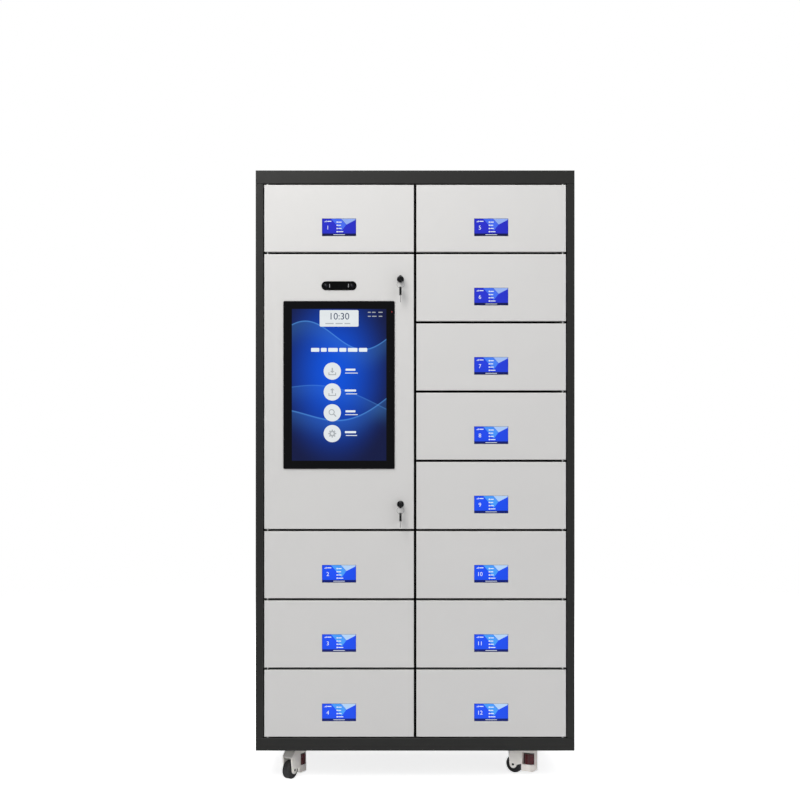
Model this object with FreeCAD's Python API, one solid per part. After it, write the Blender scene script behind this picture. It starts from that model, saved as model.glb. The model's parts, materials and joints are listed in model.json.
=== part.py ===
import FreeCAD
import Part
import math
import os

# Smart storage cabinet: a sheet-steel locker on four levelling casters. Twelve doors with a small display
# each turn on hinge rods at the outer edges, and a taller control door carries a touch monitor, a face
# camera and two cam locks with their keys. Millimetres, +Z up, front towards -Y, floor at Z = 0.

# Carcass
CABINET_WIDTH = 1000.0
CABINET_DEPTH = 500.0
CABINET_HEIGHT = 1820.0
CASTER_HEIGHT = 100.0
SHEET = 1.2
BACK_SHEET = 1.0
STILE_WIDTH = 24.0
TOP_RAIL = 42.0
BASE_RAIL = 40.0
FLANGE = 20.0
BEND_EDGE = 1.5

# Doors, counted in rows from the top
ROWS = 8
CONTROL_FIRST_ROW = 1
CONTROL_ROW_COUNT = 4
ROW_GAP = 7.5
EDGE_GAP = 3.0
CENTRE_GAP = 8.0
DOOR_THICKNESS = 18.0
DOOR_SHEET = 1.0
DOOR_LIP = 18.0
STOP_GAP = 5.0
RETURN_PLAY = 1.0

# Hinge rods, one to a column, which forked tabs of the shelves steady between the doors
ROD_RADIUS = 3.0
ROD_INSET = 10.0
ROD_DEPTH = 7.0
ROD_BITE = 8.0
ROD_PLAY = 0.05
TAB_PRONG = 3.0
TAB_THICKNESS = 3.0
TAB_NOSE = 4.5

# Shelves and the lock channel between the columns
SHELF_LIP = 22.0
SHELF_REAR_LIP = 15.0
CHANNEL_WIDTH = 60.0

# Electric locks in the channel, and the strike plates on the doors
LATCH_THICKNESS = 14.0
LATCH_DEPTH = 55.0
LATCH_HEIGHT = 60.0
STRIKE_THICKNESS = 2.5
STRIKE_REACH = 22.0
STRIKE_HEIGHT = 24.0
STRIKE_INSET = 9.0
STRIKE_PLAY = 1.75
STRIKE_WINDOW = 9.0

# Small displays on the doors
DISPLAY_WIDTH = 107.0
DISPLAY_HEIGHT = 55.5
DISPLAY_DROP = 28.0
DISPLAY_MARGIN = 7.0
DISPLAY_DEPTH = 9.0
DISPLAY_PLAY = 0.3
DISPLAY_RECESS = 0.5

# Touch monitor on the control door
GLASS_WIDTH = 349.0
GLASS_HEIGHT = 526.0
GLASS_THICKNESS = 3.0
GLASS_CORNER = 4.0
GLASS_DROP = 147.0
CASE_MARGIN = 12.0
CASE_DEPTH = 40.0
CASE_TAPER = 16.0
CASE_PLAY = 1.0

# Face camera above the monitor
CAMERA_WIDTH = 110.0
CAMERA_HEIGHT = 28.0
CAMERA_DROP = 99.0
CAMERA_PROUD = 1.5
CAMERA_BODY_DEPTH = 14.0
CAMERA_RIM = 3.0
CAMERA_PLAY = 0.2
LENS_SPREAD = 82.0
LENS_RADIUS = 5.0
LENS_PROUD = 0.8
LENS_FACETS = 16

# Cam locks, keys and key rings on the control door
LOCK_INSET = 42.0
UPPER_LOCK_DROP = 79.0
LOWER_LOCK_RISE = 78.0
BARREL_RADIUS = 9.5
BARREL_PLAY = 0.1
BARREL_FLANGE_RADIUS = 11.0
BARREL_FLANGE = 3.0
BARREL_LENGTH = 28.7
BARREL_FACETS = 20
PLUG_RADIUS = 5.5
PLUG_PLAY = 0.05
CAM_LENGTH = 28.0
CAM_WIDTH = 14.0
CAM_THICKNESS = 2.0
CAM_GAP = 0.3
CAM_SLOT_PLAY = 2.0
BLADE_THICKNESS = 2.2
BLADE_WIDTH = 7.0
BLADE_LENGTH = 22.0
BLADE_PLAY = 0.1
HEAD_THICKNESS = 7.0
HEAD_WIDTH = 22.0
HEAD_LENGTH = 26.0
HEAD_CORNER = 5.0
HEAD_GAP = 1.0
EYE_RADIUS = 3.5
EYE_RIM = 2.5
RING_RADIUS = 11.0
RING_WIRE = 1.0
RING_BREADTH = 1.6
RING_PLAY = 0.3
RING_FACETS = 24

# Equipment in the control bay
TRAY_WIDTH = 330.0
TRAY_HEIGHT = 640.0
TRAY_SHEET = 1.5
TRAY_STANDOFF = 14.0
COMPUTER_SIZE = (210.0, 48.0, 170.0)
COMPUTER_FINS = 12
COMPUTER_FIN_DEPTH = 12.0
SUPPLY_SIZE = (215.0, 50.0, 115.0)
BOARD_SIZE = (200.0, 1.6, 140.0)
BOARD_STANDOFF = 8.0
STANDOFF_SIDE = 8.0
EQUIPMENT_GAP = 45.0
INLET_WIDTH = 48.0
INLET_HEIGHT = 28.0
INLET_DEPTH = 26.0
INLET_FLANGE = 4.0
INLET_PROUD = 2.0
INLET_PLAY = 0.3
INLET_DROP = 54.5
VENT_ROWS = 9
VENT_LENGTH = 120.0
VENT_HEIGHT = 5.0
VENT_PITCH = 14.0
VENT_DROP = 60.0

# Levelling casters
CASTER_INSET_X = 130.0
CASTER_INSET_Y = 94.0
CASTER_PLATE = 76.0
CASTER_PLATE_THICKNESS = 4.0
KINGPIN_RADIUS = 8.0
KINGPIN_PLAY = 0.05
KINGPIN_FACETS = 16
SWIVEL_GAP = 0.3
BODY_WALL = 3.2
BODY_BOTTOM = 12.0
BODY_FLAT = 4.0
BODY_HEEL = 9.0
HEEL_FACETS = 3
SLOT_FLOOR = 34.0
WHEEL_RADIUS = 28.0
WHEEL_WIDTH = 24.0
WHEEL_GAP = 1.0
AXLE_RADIUS = 4.0
AXLE_PLAY = 0.05
AXLE_FACETS = 12
ARM_THICKNESS = 4.5
ARM_GAP = 2.0
ARM_BOSS = 12.0
ARM_END_FACETS = 8
HOOD_GAP = 9.0
HOOD_WALL = 4.5
HOOD_REACH = 12.0
HOOD_SLOPE = 45.0
DIAL_TEETH = 12
DIAL_TOOTH = 1.6
DIAL_PROUD = 0.9
DIAL_PLAY = 0.4
DIAL_HEIGHT = 33.0
DIAL_ROOM = 4.7
STEM_SIDE = 8.5
STEM_PLAY = 0.05
THREAD_FACETS = 12
STEM_GUIDE_PLAY = 0.3
STEM_ROOM = 2.0
PAD_RADIUS = 13.5
PAD_FACETS = 24
PAD_THICKNESS = 8.0
PAD_CLEARANCE = 11.0
PAD_GAP = 0.5
CASTER_TURNS = {"front_left": 240.0, "front_right": 150.0, "rear_left": 24.0, "rear_right": 335.0}

# Places that follow from the sizes above. The origin is on the floor, in the middle of the overall box, which
# the keys lengthen to the front.
EYE_REACH = BARREL_FLANGE + HEAD_GAP + HEAD_LENGTH - EYE_RIM - EYE_RADIUS
KEY_REACH = max(BARREL_FLANGE + HEAD_GAP + HEAD_LENGTH, EYE_REACH + HEAD_WIDTH / 2)
FRONT = (KEY_REACH - CABINET_DEPTH) / 2
BACK = FRONT + CABINET_DEPTH
HALF_WIDTH = CABINET_WIDTH / 2
Z_BASE = CASTER_HEIGHT
Z_TOP = Z_BASE + CABINET_HEIGHT
OPENING_TOP = Z_TOP - TOP_RAIL
OPENING_BOTTOM = Z_BASE + BASE_RAIL
ROW_PITCH = (OPENING_TOP - OPENING_BOTTOM) / ROWS
STOP = FRONT + DOOR_THICKNESS + STOP_GAP
RETURN_END = STOP - RETURN_PLAY
BACK_INSIDE = BACK - SHEET - BACK_SHEET
DOOR_BACK = FRONT + DOOR_THICKNESS
HINGE_EDGE = STILE_WIDTH + EDGE_GAP
FREE_EDGE = HALF_WIDTH - CENTRE_GAP / 2
ROD_FROM_SIDE = HINGE_EDGE + ROD_INSET
ROD_Y = FRONT + ROD_DEPTH
STRIKE_FROM_SIDE = FREE_EDGE - STRIKE_INSET
CHANNEL_FROM_SIDE = HALF_WIDTH - CHANNEL_WIDTH / 2
CONTROL_LAST_ROW = CONTROL_FIRST_ROW + CONTROL_ROW_COUNT - 1
SLOT_TOP = SLOT_FLOOR + SWIVEL_GAP + DIAL_HEIGHT + DIAL_ROOM
STEM_TOP = SLOT_TOP - STEM_ROOM
LEFT = -1
RIGHT = 1


def across(side, from_side):
    """X of a place that lies so far in from the cabinet's left or right face."""
    return side * (HALF_WIDTH - from_side)


def boundary(row):
    """Z of the line above a row, counted from the top."""
    return OPENING_TOP - row * ROW_PITCH


def door_rows():
    """Every storage door as (side, row)."""
    left = [row for row in range(ROWS) if not CONTROL_FIRST_ROW <= row <= CONTROL_LAST_ROW]
    return [(LEFT, row) for row in left] + [(RIGHT, row) for row in range(ROWS)]


def shelf_rows():
    """Every shelf as (side, row of the door above it + 1)."""
    left = [row for row in range(1, ROWS + 1) if not CONTROL_FIRST_ROW < row <= CONTROL_LAST_ROW]
    return [(LEFT, row) for row in left] + [(RIGHT, row) for row in range(1, ROWS + 1)]


def side_name(side):
    return "left" if side == LEFT else "right"


# Shape helpers
def box(xa, xb, ya, yb, za, zb):
    low = FreeCAD.Vector(min(xa, xb), min(ya, yb), min(za, zb))
    return Part.makeBox(abs(xb - xa), abs(yb - ya), abs(zb - za), low)


def cylinder(radius, start, end):
    start, end = FreeCAD.Vector(*start), FreeCAD.Vector(*end)
    return Part.makeCylinder(radius, (end - start).Length, start, end - start)


def prism(points, start, end):
    """The closed outline through points, in the plane of start, pushed from start to end."""
    start, end = FreeCAD.Vector(*start), FreeCAD.Vector(*end)
    corners = [start + FreeCAD.Vector(*p) for p in points]
    face = Part.Face(Part.makePolygon(corners + corners[:1]))
    return face.extrude(end - start)


def facets(count, radius, start, end):
    """A many-sided bar from start to end, its corners on the radius, for what is small and round."""
    start, end = FreeCAD.Vector(*start), FreeCAD.Vector(*end)
    along = (end - start).normalize()
    reference = FreeCAD.Vector(1, 0, 0) if abs(along.x) < 0.5 else FreeCAD.Vector(0, 1, 0)
    aside = along.cross(reference).normalize()
    over = along.cross(aside)
    points = []
    for n in range(count):
        angle = 2 * math.pi * n / count
        points.append(aside * (radius * math.cos(angle)) + over * (radius * math.sin(angle)))
    return prism(points, start, end)


def faceted_bore(count, radius, start, end):
    """A many-sided bar whose flats lie on the radius, to cut a hole for what is round."""
    return facets(count, radius / math.cos(math.pi / count), start, end)


def join(shapes):
    return shapes[0].multiFuse(shapes[1:]).removeSplitter()


def stadium(cx, cz, width, height, ya, yb):
    """A bar with round ends, width along X and height along Z."""
    reach = (width - height) / 2
    return join([
        box(cx - reach, cx + reach, ya, yb, cz - height / 2, cz + height / 2),
        cylinder(height / 2, (cx - reach, ya, cz), (cx - reach, yb, cz)),
        cylinder(height / 2, (cx + reach, ya, cz), (cx + reach, yb, cz)),
    ])


def bend_front(shape):
    """Breaks the outer edges of the front face, where the sheet is bent."""
    whole = shape.BoundBox

    def on_rim(edge):
        b = edge.BoundBox
        if b.YMax > whole.YMin + 1e-6:
            return False
        across_sides = b.XLength < 1e-6 and min(abs(b.XMin - whole.XMin), abs(b.XMin - whole.XMax)) < 1e-6
        across_ends = b.ZLength < 1e-6 and min(abs(b.ZMin - whole.ZMin), abs(b.ZMin - whole.ZMax)) < 1e-6
        return across_sides or across_ends

    return shape.makeChamfer(BEND_EDGE, [e for e in shape.Edges if on_rim(e)])


# Carcass
def side_panel(side):
    """The welded side: a folded front post, the flat outer sheet, a rear strip, and a strip at each end."""
    t = SHEET
    outline = [
        (0, FRONT), (STILE_WIDTH, FRONT), (STILE_WIDTH, RETURN_END), (STILE_WIDTH - t, RETURN_END),
        (STILE_WIDTH - t, FRONT + t), (t, FRONT + t), (t, BACK - t), (FLANGE, BACK - t), (FLANGE, BACK),
        (0, BACK),
    ]
    points = [(across(side, u), y, 0) for u, y in outline]
    skin = prism(points, (0, 0, OPENING_BOTTOM), (0, 0, OPENING_TOP))
    corners = [e for e in skin.Edges if _upright_at(e, across(side, 0), FRONT)]
    corners += [e for e in skin.Edges if _upright_at(e, across(side, STILE_WIDTH), FRONT)]
    skin = skin.makeChamfer(BEND_EDGE, corners)
    sheet = box(across(side, 0), across(side, t), FRONT + t, BACK, OPENING_BOTTOM, OPENING_TOP)
    ends = [
        box(across(side, t), across(side, FLANGE), STOP, BACK_INSIDE, z, z + t)
        for z in (OPENING_BOTTOM, OPENING_TOP - t)
    ]
    return skin.cut(sheet).Solids + skin.common(sheet).Solids + ends


def _upright_at(edge, x, y):
    b = edge.BoundBox
    stands = b.ZLength > 1 and b.XLength < 1e-3 and b.YLength < 1e-3
    return stands and abs(b.XMin - x) < 1e-3 and abs(b.YMin - y) < 1e-3


def rail_pan(plate_z, rim_z):
    """A top or base pan: a plate with four flanges, and returns along the front and the sides."""
    inward = 1 if rim_z > plate_z else -1
    t = SHEET * inward
    pan = box(-HALF_WIDTH, HALF_WIDTH, FRONT, BACK, plate_z, rim_z)
    hollow = box(SHEET - HALF_WIDTH, HALF_WIDTH - SHEET, FRONT + SHEET, BACK - SHEET, plate_z + t, rim_z - t)
    mouth = box(FLANGE - HALF_WIDTH, HALF_WIDTH - FLANGE, RETURN_END, BACK - SHEET, rim_z - t, rim_z)
    back_slot = box(SHEET - HALF_WIDTH, HALF_WIDTH - SHEET, BACK_INSIDE, BACK - SHEET, rim_z - t, rim_z)
    pan = bend_front(pan.cut([hollow, mouth, back_slot]))
    return pan.cut([rod_hole(side, rim_z - t, rim_z) for side in (LEFT, RIGHT)])


def rod_hole(side, za, zb):
    """A square-punched hole that takes the round hinge rod."""
    x = across(side, ROD_FROM_SIDE)
    half = ROD_RADIUS + ROD_PLAY
    return box(x - half, x + half, ROD_Y - half, ROD_Y + half, za, zb)


def back_panel():
    """Flat sheet behind everything, with a vent field and the inlet's hole in the control bay."""
    edge = HALF_WIDTH - SHEET
    panel = box(-edge, edge, BACK_INSIDE, BACK - SHEET, Z_BASE + SHEET, Z_TOP - SHEET)
    top = boundary(CONTROL_FIRST_ROW) - VENT_DROP
    x = bay_centre()
    holes = []
    for n in range(VENT_ROWS):
        z = top - n * VENT_PITCH
        holes.append(box(x - VENT_LENGTH / 2, x + VENT_LENGTH / 2, BACK_INSIDE, BACK, z - VENT_HEIGHT, z))
    z = inlet_z()
    holes.append(box(x - INLET_WIDTH / 2, x + INLET_WIDTH / 2, BACK_INSIDE, BACK, z, z + INLET_HEIGHT))
    return panel.cut(holes)


def bay_centre():
    """X of the middle of the control bay."""
    return (across(LEFT, SHEET) + across(LEFT, CHANNEL_FROM_SIDE)) / 2


def bay_middle():
    """Z of the middle of the control bay, about which the equipment tray lies."""
    return (boundary(CONTROL_FIRST_ROW) + boundary(CONTROL_LAST_ROW + 1)) / 2


def inlet_z():
    """Z of the lower edge of the inlet's hole, below the tray."""
    return bay_middle() - TRAY_HEIGHT / 2 - INLET_DROP


def centre_channel():
    """The U-shaped lock channel, open to the back, with a slot for each strike and for each cam."""
    t = SHEET
    half = CHANNEL_WIDTH / 2
    outline = [
        (-half, STOP), (half, STOP), (half, BACK_INSIDE), (half - t, BACK_INSIDE),
        (half - t, STOP + t), (t - half, STOP + t), (t - half, BACK_INSIDE), (-half, BACK_INSIDE),
    ]
    channel = prism([(x, y, 0) for x, y in outline], (0, 0, Z_BASE + t), (0, 0, Z_TOP - t))
    slots = []
    for side, row in door_rows():
        x = across(side, STRIKE_FROM_SIDE)
        z = row_middle(row)
        wide = STRIKE_THICKNESS / 2 + STRIKE_PLAY
        high = STRIKE_HEIGHT / 2 + STRIKE_PLAY
        slots.append(box(x - wide, x + wide, STOP, STOP + t, z - high, z + high))
    cam_front = FRONT + BARREL_LENGTH + CAM_GAP
    for z in lock_heights():
        slots.append(box(
            -half, t - half, cam_front - CAM_SLOT_PLAY, cam_front + CAM_THICKNESS + CAM_SLOT_PLAY,
            z - CAM_WIDTH / 2 - CAM_SLOT_PLAY, z + CAM_LENGTH + CAM_SLOT_PLAY,
        ))
    return channel.cut(slots)


def row_middle(row):
    return (boundary(row) + boundary(row + 1)) / 2


def shelf(side, row):
    """A folded shelf whose front lip stops the doors above and below it, with a forked tab for the rod."""
    t = SHEET
    line = boundary(row)
    top = line + SHELF_LIP / 2
    is_floor = row == ROWS
    lip = line + t if is_floor else line - SHELF_LIP / 2
    rear = max(top - SHELF_REAR_LIP, lip)
    outline = [
        (STOP, lip), (STOP, top), (BACK_INSIDE, top), (BACK_INSIDE, rear), (BACK_INSIDE - t, rear),
        (BACK_INSIDE - t, top - t), (STOP + t, top - t), (STOP + t, lip),
    ]
    start, end = across(side, SHEET), across(side, CHANNEL_FROM_SIDE)
    plate = prism([(0, y, z) for y, z in outline], (start, 0, 0), (end, 0, 0))
    return plate if is_floor else join([plate, rod_tab(side, line)])


def rod_tab(side, line):
    """A fork in the gap between two doors, open to the front, that holds the hinge rod."""
    x = across(side, ROD_FROM_SIDE)
    inner = ROD_RADIUS + ROD_PLAY
    outer = inner + TAB_PRONG
    nose, seat = ROD_Y - TAB_NOSE, ROD_Y + inner
    outline = [
        (-outer, nose), (-inner, nose), (-inner, seat), (inner, seat),
        (inner, nose), (outer, nose), (outer, STOP), (-outer, STOP),
    ]
    low, high = line - TAB_THICKNESS / 2, line + TAB_THICKNESS / 2
    return prism([(x + u, y, 0) for u, y in outline], (0, 0, low), (0, 0, high))


def shelves():
    return [shelf(side, row) for side, row in shelf_rows()]


def hinge_rods():
    """The two rods that the doors of a column turn on, held in the returns of the rails at both ends."""
    rods = []
    for side in (LEFT, RIGHT):
        x = across(side, ROD_FROM_SIDE)
        low, high = OPENING_BOTTOM - ROD_BITE, OPENING_TOP + ROD_BITE
        rods.append(cylinder(ROD_RADIUS, (x, ROD_Y, low), (x, ROD_Y, high)))
    return rods


def electric_locks():
    """One closed lock case behind the channel's face for each storage door, slotted for its strike."""
    cases = []
    for side, row in door_rows():
        x = across(side, STRIKE_FROM_SIDE)
        z = row_middle(row)
        y = STOP + SHEET
        half = LATCH_THICKNESS / 2
        case = box(x - half, x + half, y, y + LATCH_DEPTH, z - LATCH_HEIGHT / 2, z + LATCH_HEIGHT / 2)
        wide = STRIKE_THICKNESS / 2 + STRIKE_PLAY
        high = STRIKE_HEIGHT / 2 + STRIKE_PLAY
        slot = box(x - wide, x + wide, y, DOOR_BACK + STRIKE_REACH + STRIKE_PLAY, z - high, z + high)
        cases.append(case.cut(slot))
    return cases


# Doors
def door_pan(side, top, bottom):
    """A folded door pan, open to the back inside its lips, with the rod's holes in its ends."""
    s = DOOR_SHEET
    hinge, free = across(side, HINGE_EDGE), across(side, FREE_EDGE)
    pan = bend_front(box(hinge, free, FRONT, DOOR_BACK, bottom, top))
    near, far = across(side, HINGE_EDGE + s), across(side, FREE_EDGE - s)
    hollow = box(near, far, FRONT + s, DOOR_BACK - s, bottom + s, top - s)
    near, far = across(side, HINGE_EDGE + DOOR_LIP), across(side, FREE_EDGE - DOOR_LIP)
    mouth = box(near, far, DOOR_BACK - s, DOOR_BACK, bottom + DOOR_LIP, top - DOOR_LIP)
    return pan.cut([hollow, mouth, rod_hole(side, bottom, top)])


def door_middle(side):
    return (across(side, HINGE_EDGE) + across(side, FREE_EDGE)) / 2


def storage_door(side, row):
    """A storage door with its display cut-out and its welded strike plate."""
    pan = door_pan(side, boundary(row) - ROW_GAP / 2, boundary(row + 1) + ROW_GAP / 2)
    x, z = door_middle(side), row_middle(row) - DISPLAY_DROP
    w, h = DISPLAY_WIDTH / 2, DISPLAY_HEIGHT / 2
    pan = pan.cut(box(x - w, x + w, FRONT, FRONT + DOOR_SHEET, z - h, z + h))
    return join([pan, strike(side, row)])


def strike(side, row):
    x, z = across(side, STRIKE_FROM_SIDE), row_middle(row)
    half, high = STRIKE_THICKNESS / 2, STRIKE_HEIGHT / 2
    tip = DOOR_BACK + STRIKE_REACH
    plate = box(x - half, x + half, DOOR_BACK, tip, z - high, z + high)
    edge = (STRIKE_HEIGHT - STRIKE_WINDOW) / 2
    window = box(x - half, x + half, tip - edge - STRIKE_WINDOW, tip - edge, z - high + edge, z + high - edge)
    return plate.cut(window)


def display(side, row):
    """A display module: its body lies behind the door's skin and its face stands in the cut-out."""
    x, z = door_middle(side), row_middle(row) - DISPLAY_DROP
    w, h = DISPLAY_WIDTH / 2, DISPLAY_HEIGHT / 2
    p, m = DISPLAY_PLAY, DISPLAY_MARGIN
    skin = FRONT + DOOR_SHEET
    face = box(x - w + p, x + w - p, FRONT + DISPLAY_RECESS, skin, z - h + p, z + h - p)
    body = box(x - w - m, x + w + m, skin, skin + DISPLAY_DEPTH, z - h - m, z + h + m)
    return join([body, face])


def control_top():
    return boundary(CONTROL_FIRST_ROW) - ROW_GAP / 2


def control_bottom():
    return boundary(CONTROL_LAST_ROW + 1) + ROW_GAP / 2


def lock_heights():
    return (control_top() - UPPER_LOCK_DROP, control_bottom() + LOWER_LOCK_RISE)


def lock_x():
    return across(LEFT, FREE_EDGE - LOCK_INSET)


def glass_box():
    """Left, right, bottom and top of the monitor's glass."""
    x = door_middle(LEFT)
    top = control_top() - GLASS_DROP
    return x - GLASS_WIDTH / 2, x + GLASS_WIDTH / 2, top - GLASS_HEIGHT, top


def control_door():
    """The tall door, cut out for the monitor, the camera and the two lock barrels."""
    pan = door_pan(LEFT, control_top(), control_bottom())
    left, right, low, high = glass_box()
    m = CASE_MARGIN - CASE_PLAY
    skin = FRONT + DOOR_SHEET
    holes = [box(left + m, right - m, FRONT, skin, low + m, high - m)]
    holes.append(stadium(
        door_middle(LEFT), control_top() - CAMERA_DROP, CAMERA_WIDTH - 2 * CAMERA_RIM,
        CAMERA_HEIGHT - 2 * CAMERA_RIM, FRONT, skin,
    ))
    for z in lock_heights():
        ends = (lock_x(), FRONT, z), (lock_x(), skin, z)
        holes.append(faceted_bore(BARREL_FACETS, BARREL_RADIUS + BARREL_PLAY, *ends))
    return pan.cut(holes)


def touch_glass():
    """The monitor's cover glass, which lies on the door's skin."""
    left, right, low, high = glass_box()
    plate = box(left, right, FRONT - GLASS_THICKNESS, FRONT, low, high)
    corners = [e for e in plate.Edges if e.BoundBox.YLength > GLASS_THICKNESS / 2]
    return plate.makeFillet(GLASS_CORNER, corners)


def monitor_case():
    """The monitor's rear case, through the door's cut-out, with its back drawn in."""
    left, right, low, high = glass_box()
    m = CASE_MARGIN
    t = CASE_TAPER
    back = FRONT + CASE_DEPTH
    straight = back - t
    front_part = box(left + m, right - m, FRONT, straight, low + m, high - m)
    wide = [(left + m, low + m), (right - m, low + m), (right - m, high - m), (left + m, high - m)]
    narrow = [
        (left + m + t, low + m + t), (right - m - t, low + m + t),
        (right - m - t, high - m - t), (left + m + t, high - m - t),
    ]
    wires = []
    for y, corners in ((straight, wide), (back, narrow)):
        loop = [FreeCAD.Vector(x, y, z) for x, z in corners]
        wires.append(Part.makePolygon(loop + loop[:1]))
    return join([front_part, Part.makeLoft(wires, True, True)])


def camera_module():
    """A round-ended camera bar with a lens at each end, and its case behind the door's skin."""
    x, z = door_middle(LEFT), control_top() - CAMERA_DROP
    face = FRONT - CAMERA_PROUD
    bar = stadium(x, z, CAMERA_WIDTH, CAMERA_HEIGHT, face, FRONT)
    half = CAMERA_HEIGHT / 2 - CAMERA_RIM - CAMERA_PLAY
    reach = (CAMERA_WIDTH - CAMERA_HEIGHT) / 2
    case = box(x - reach, x + reach, FRONT, FRONT + CAMERA_BODY_DEPTH, z - half, z + half)
    lenses = []
    for c in (x - LENS_SPREAD / 2, x + LENS_SPREAD / 2):
        lenses.append(facets(LENS_FACETS, LENS_RADIUS, (c, face - LENS_PROUD, z), (c, face, z)))
    return [join([bar, case])] + lenses


# Cam locks and keys
def lock_barrels():
    barrels = []
    x = lock_x()
    for z in lock_heights():
        face, skin, end = (x, FRONT - BARREL_FLANGE, z), (x, FRONT, z), (x, FRONT + BARREL_LENGTH, z)
        flange = facets(BARREL_FACETS, BARREL_FLANGE_RADIUS, face, skin)
        barrel = facets(BARREL_FACETS, BARREL_RADIUS, skin, end)
        bore = faceted_bore(BARREL_FACETS, PLUG_RADIUS + PLUG_PLAY, face, end)
        barrels.append(join([barrel, flange]).cut(bore))
    return barrels


def key_head(eye, upright):
    """A key's plastic head, edge on to the front: eye is the middle of its hole, and the blade leaves on the
    far side, downwards if upright and otherwise into the door."""
    x, y, z = eye
    near, far = EYE_RADIUS + EYE_RIM, HEAD_LENGTH - EYE_RADIUS - EYE_RIM
    t, w = HEAD_THICKNESS / 2, HEAD_WIDTH / 2
    if upright:
        head = box(x - t, x + t, y - w, y + w, z - far, z + near)
    else:
        drop = w - EYE_RADIUS - EYE_RIM
        head = box(x - t, x + t, y - near, y + far, z + drop - w, z + drop + w)
    corners = [e for e in head.Edges if e.BoundBox.XLength > t]
    head = head.makeChamfer(HEAD_CORNER, corners)
    return head.cut(cylinder(EYE_RADIUS, (x - t, y, z), (x + t, y, z)))


def lock_eye(z):
    """Middle of the hole in the head of a key that stands in the lock at that height."""
    return lock_x(), FRONT - EYE_REACH, z - HEAD_WIDTH / 2 + EYE_RADIUS + EYE_RIM


def key_set(z):
    """What turns in a lock: the plug, the cam behind it and the key in its slot."""
    x = lock_x()
    plug_front, plug_back = FRONT - BARREL_FLANGE, FRONT + BARREL_LENGTH + CAM_GAP
    plug = cylinder(PLUG_RADIUS, (x, plug_front, z), (x, plug_back, z))
    half, high = BLADE_THICKNESS / 2, BLADE_WIDTH / 2
    p = BLADE_PLAY
    slot_end = plug_front + BLADE_LENGTH + p
    slot = box(x - half - p, x + half + p, plug_front, slot_end, z - high - p, z + high + p)
    head_end = plug_front - HEAD_GAP
    blade = box(x - half, x + half, head_end, plug_front + BLADE_LENGTH, z - high, z + high)
    key = join([key_head(lock_eye(z), False), blade])
    w = CAM_WIDTH / 2
    cam_back = plug_back + CAM_THICKNESS
    cam = box(x - w, x + w, plug_back, cam_back, z - w, z + CAM_LENGTH)
    return [plug.cut(slot), key, cam]


def ring_top(z):
    """Where the ring's wire lies in the eye of the key in the lock, about whose middle it swings."""
    x, y, eye_z = lock_eye(z)
    outer = RING_RADIUS + RING_WIRE / 2
    sag = outer - math.sqrt(outer ** 2 - (HEAD_THICKNESS / 2) ** 2)
    return x, y, eye_z - EYE_RADIUS + RING_PLAY + sag + RING_WIRE / 2


def key_ring(z):
    """A flat-wire ring that hangs in the key's eye, and the spare key on it, edge on to the front."""
    x, y, top = ring_top(z)
    middle = top - RING_RADIUS
    outer, inner = RING_RADIUS + RING_WIRE / 2, RING_RADIUS - RING_WIRE / 2
    ends = (x, y - RING_BREADTH / 2, middle), (x, y + RING_BREADTH / 2, middle)
    ring = facets(RING_FACETS, outer, *ends).cut(facets(RING_FACETS, inner, *ends))
    rest = eye_under_ring(top)
    head = key_head((x, y, rest), True)
    head_end = rest - HEAD_LENGTH + EYE_RADIUS + EYE_RIM
    half, w = BLADE_THICKNESS / 2, BLADE_WIDTH / 2
    blade = box(x - half, x + half, y - w, y + w, head_end - BLADE_LENGTH, head_end)
    return [ring, join([head, blade])]


def eye_under_ring(top):
    """Z of the eye of the spare key that hangs on the ring."""
    x_half = HEAD_THICKNESS / 2
    inner = RING_RADIUS - RING_WIRE / 2
    rise = inner - math.sqrt(inner ** 2 - x_half ** 2)
    return top - 2 * RING_RADIUS + RING_WIRE / 2 + rise + RING_PLAY - EYE_RADIUS


# Control equipment
def control_equipment():
    """Equipment tray on the back panel with computer, power supply and lock board, and the mains inlet."""
    x, middle = bay_centre(), bay_middle()
    tray_back = BACK_INSIDE - TRAY_STANDOFF
    tray_front = tray_back - TRAY_SHEET
    w, h = TRAY_WIDTH / 2, TRAY_HEIGHT / 2
    tray = box(x - w, x + w, tray_front, tray_back, middle - h, middle + h)
    half = STANDOFF_SIDE / 2
    posts = []
    for sx in (-1, 1):
        for sz in (-1, 1):
            px, pz = x + sx * (w - STANDOFF_SIDE), middle + sz * (h - STANDOFF_SIDE)
            posts.append(box(px - half, px + half, tray_back, BACK_INSIDE, pz - half, pz + half))
    pieces = [join([tray] + posts)]
    level = middle + h - EQUIPMENT_GAP
    pieces.append(computer(x, tray_front, level))
    level -= COMPUTER_SIZE[2] + EQUIPMENT_GAP
    pieces.append(lock_board(x, tray_front, level))
    level -= BOARD_SIZE[2] + EQUIPMENT_GAP
    width, depth, height = SUPPLY_SIZE
    pieces.append(box(x - width / 2, x + width / 2, tray_front - depth, tray_front, level - height, level))
    pieces.append(inlet(x))
    return pieces


def computer(x, back, top):
    """A fanless computer whose front is a row of cooling fins."""
    width, depth, height = COMPUTER_SIZE
    case = box(x - width / 2, x + width / 2, back - depth, back, top - height, top)
    pitch = width / COMPUTER_FINS
    grooves = []
    for n in range(COMPUTER_FINS - 1):
        groove = x - width / 2 + (n + 0.75) * pitch
        grooves.append(box(
            groove, groove + pitch / 2, back - depth, back - depth + COMPUTER_FIN_DEPTH, top - height, top,
        ))
    return case.cut(grooves)


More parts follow.
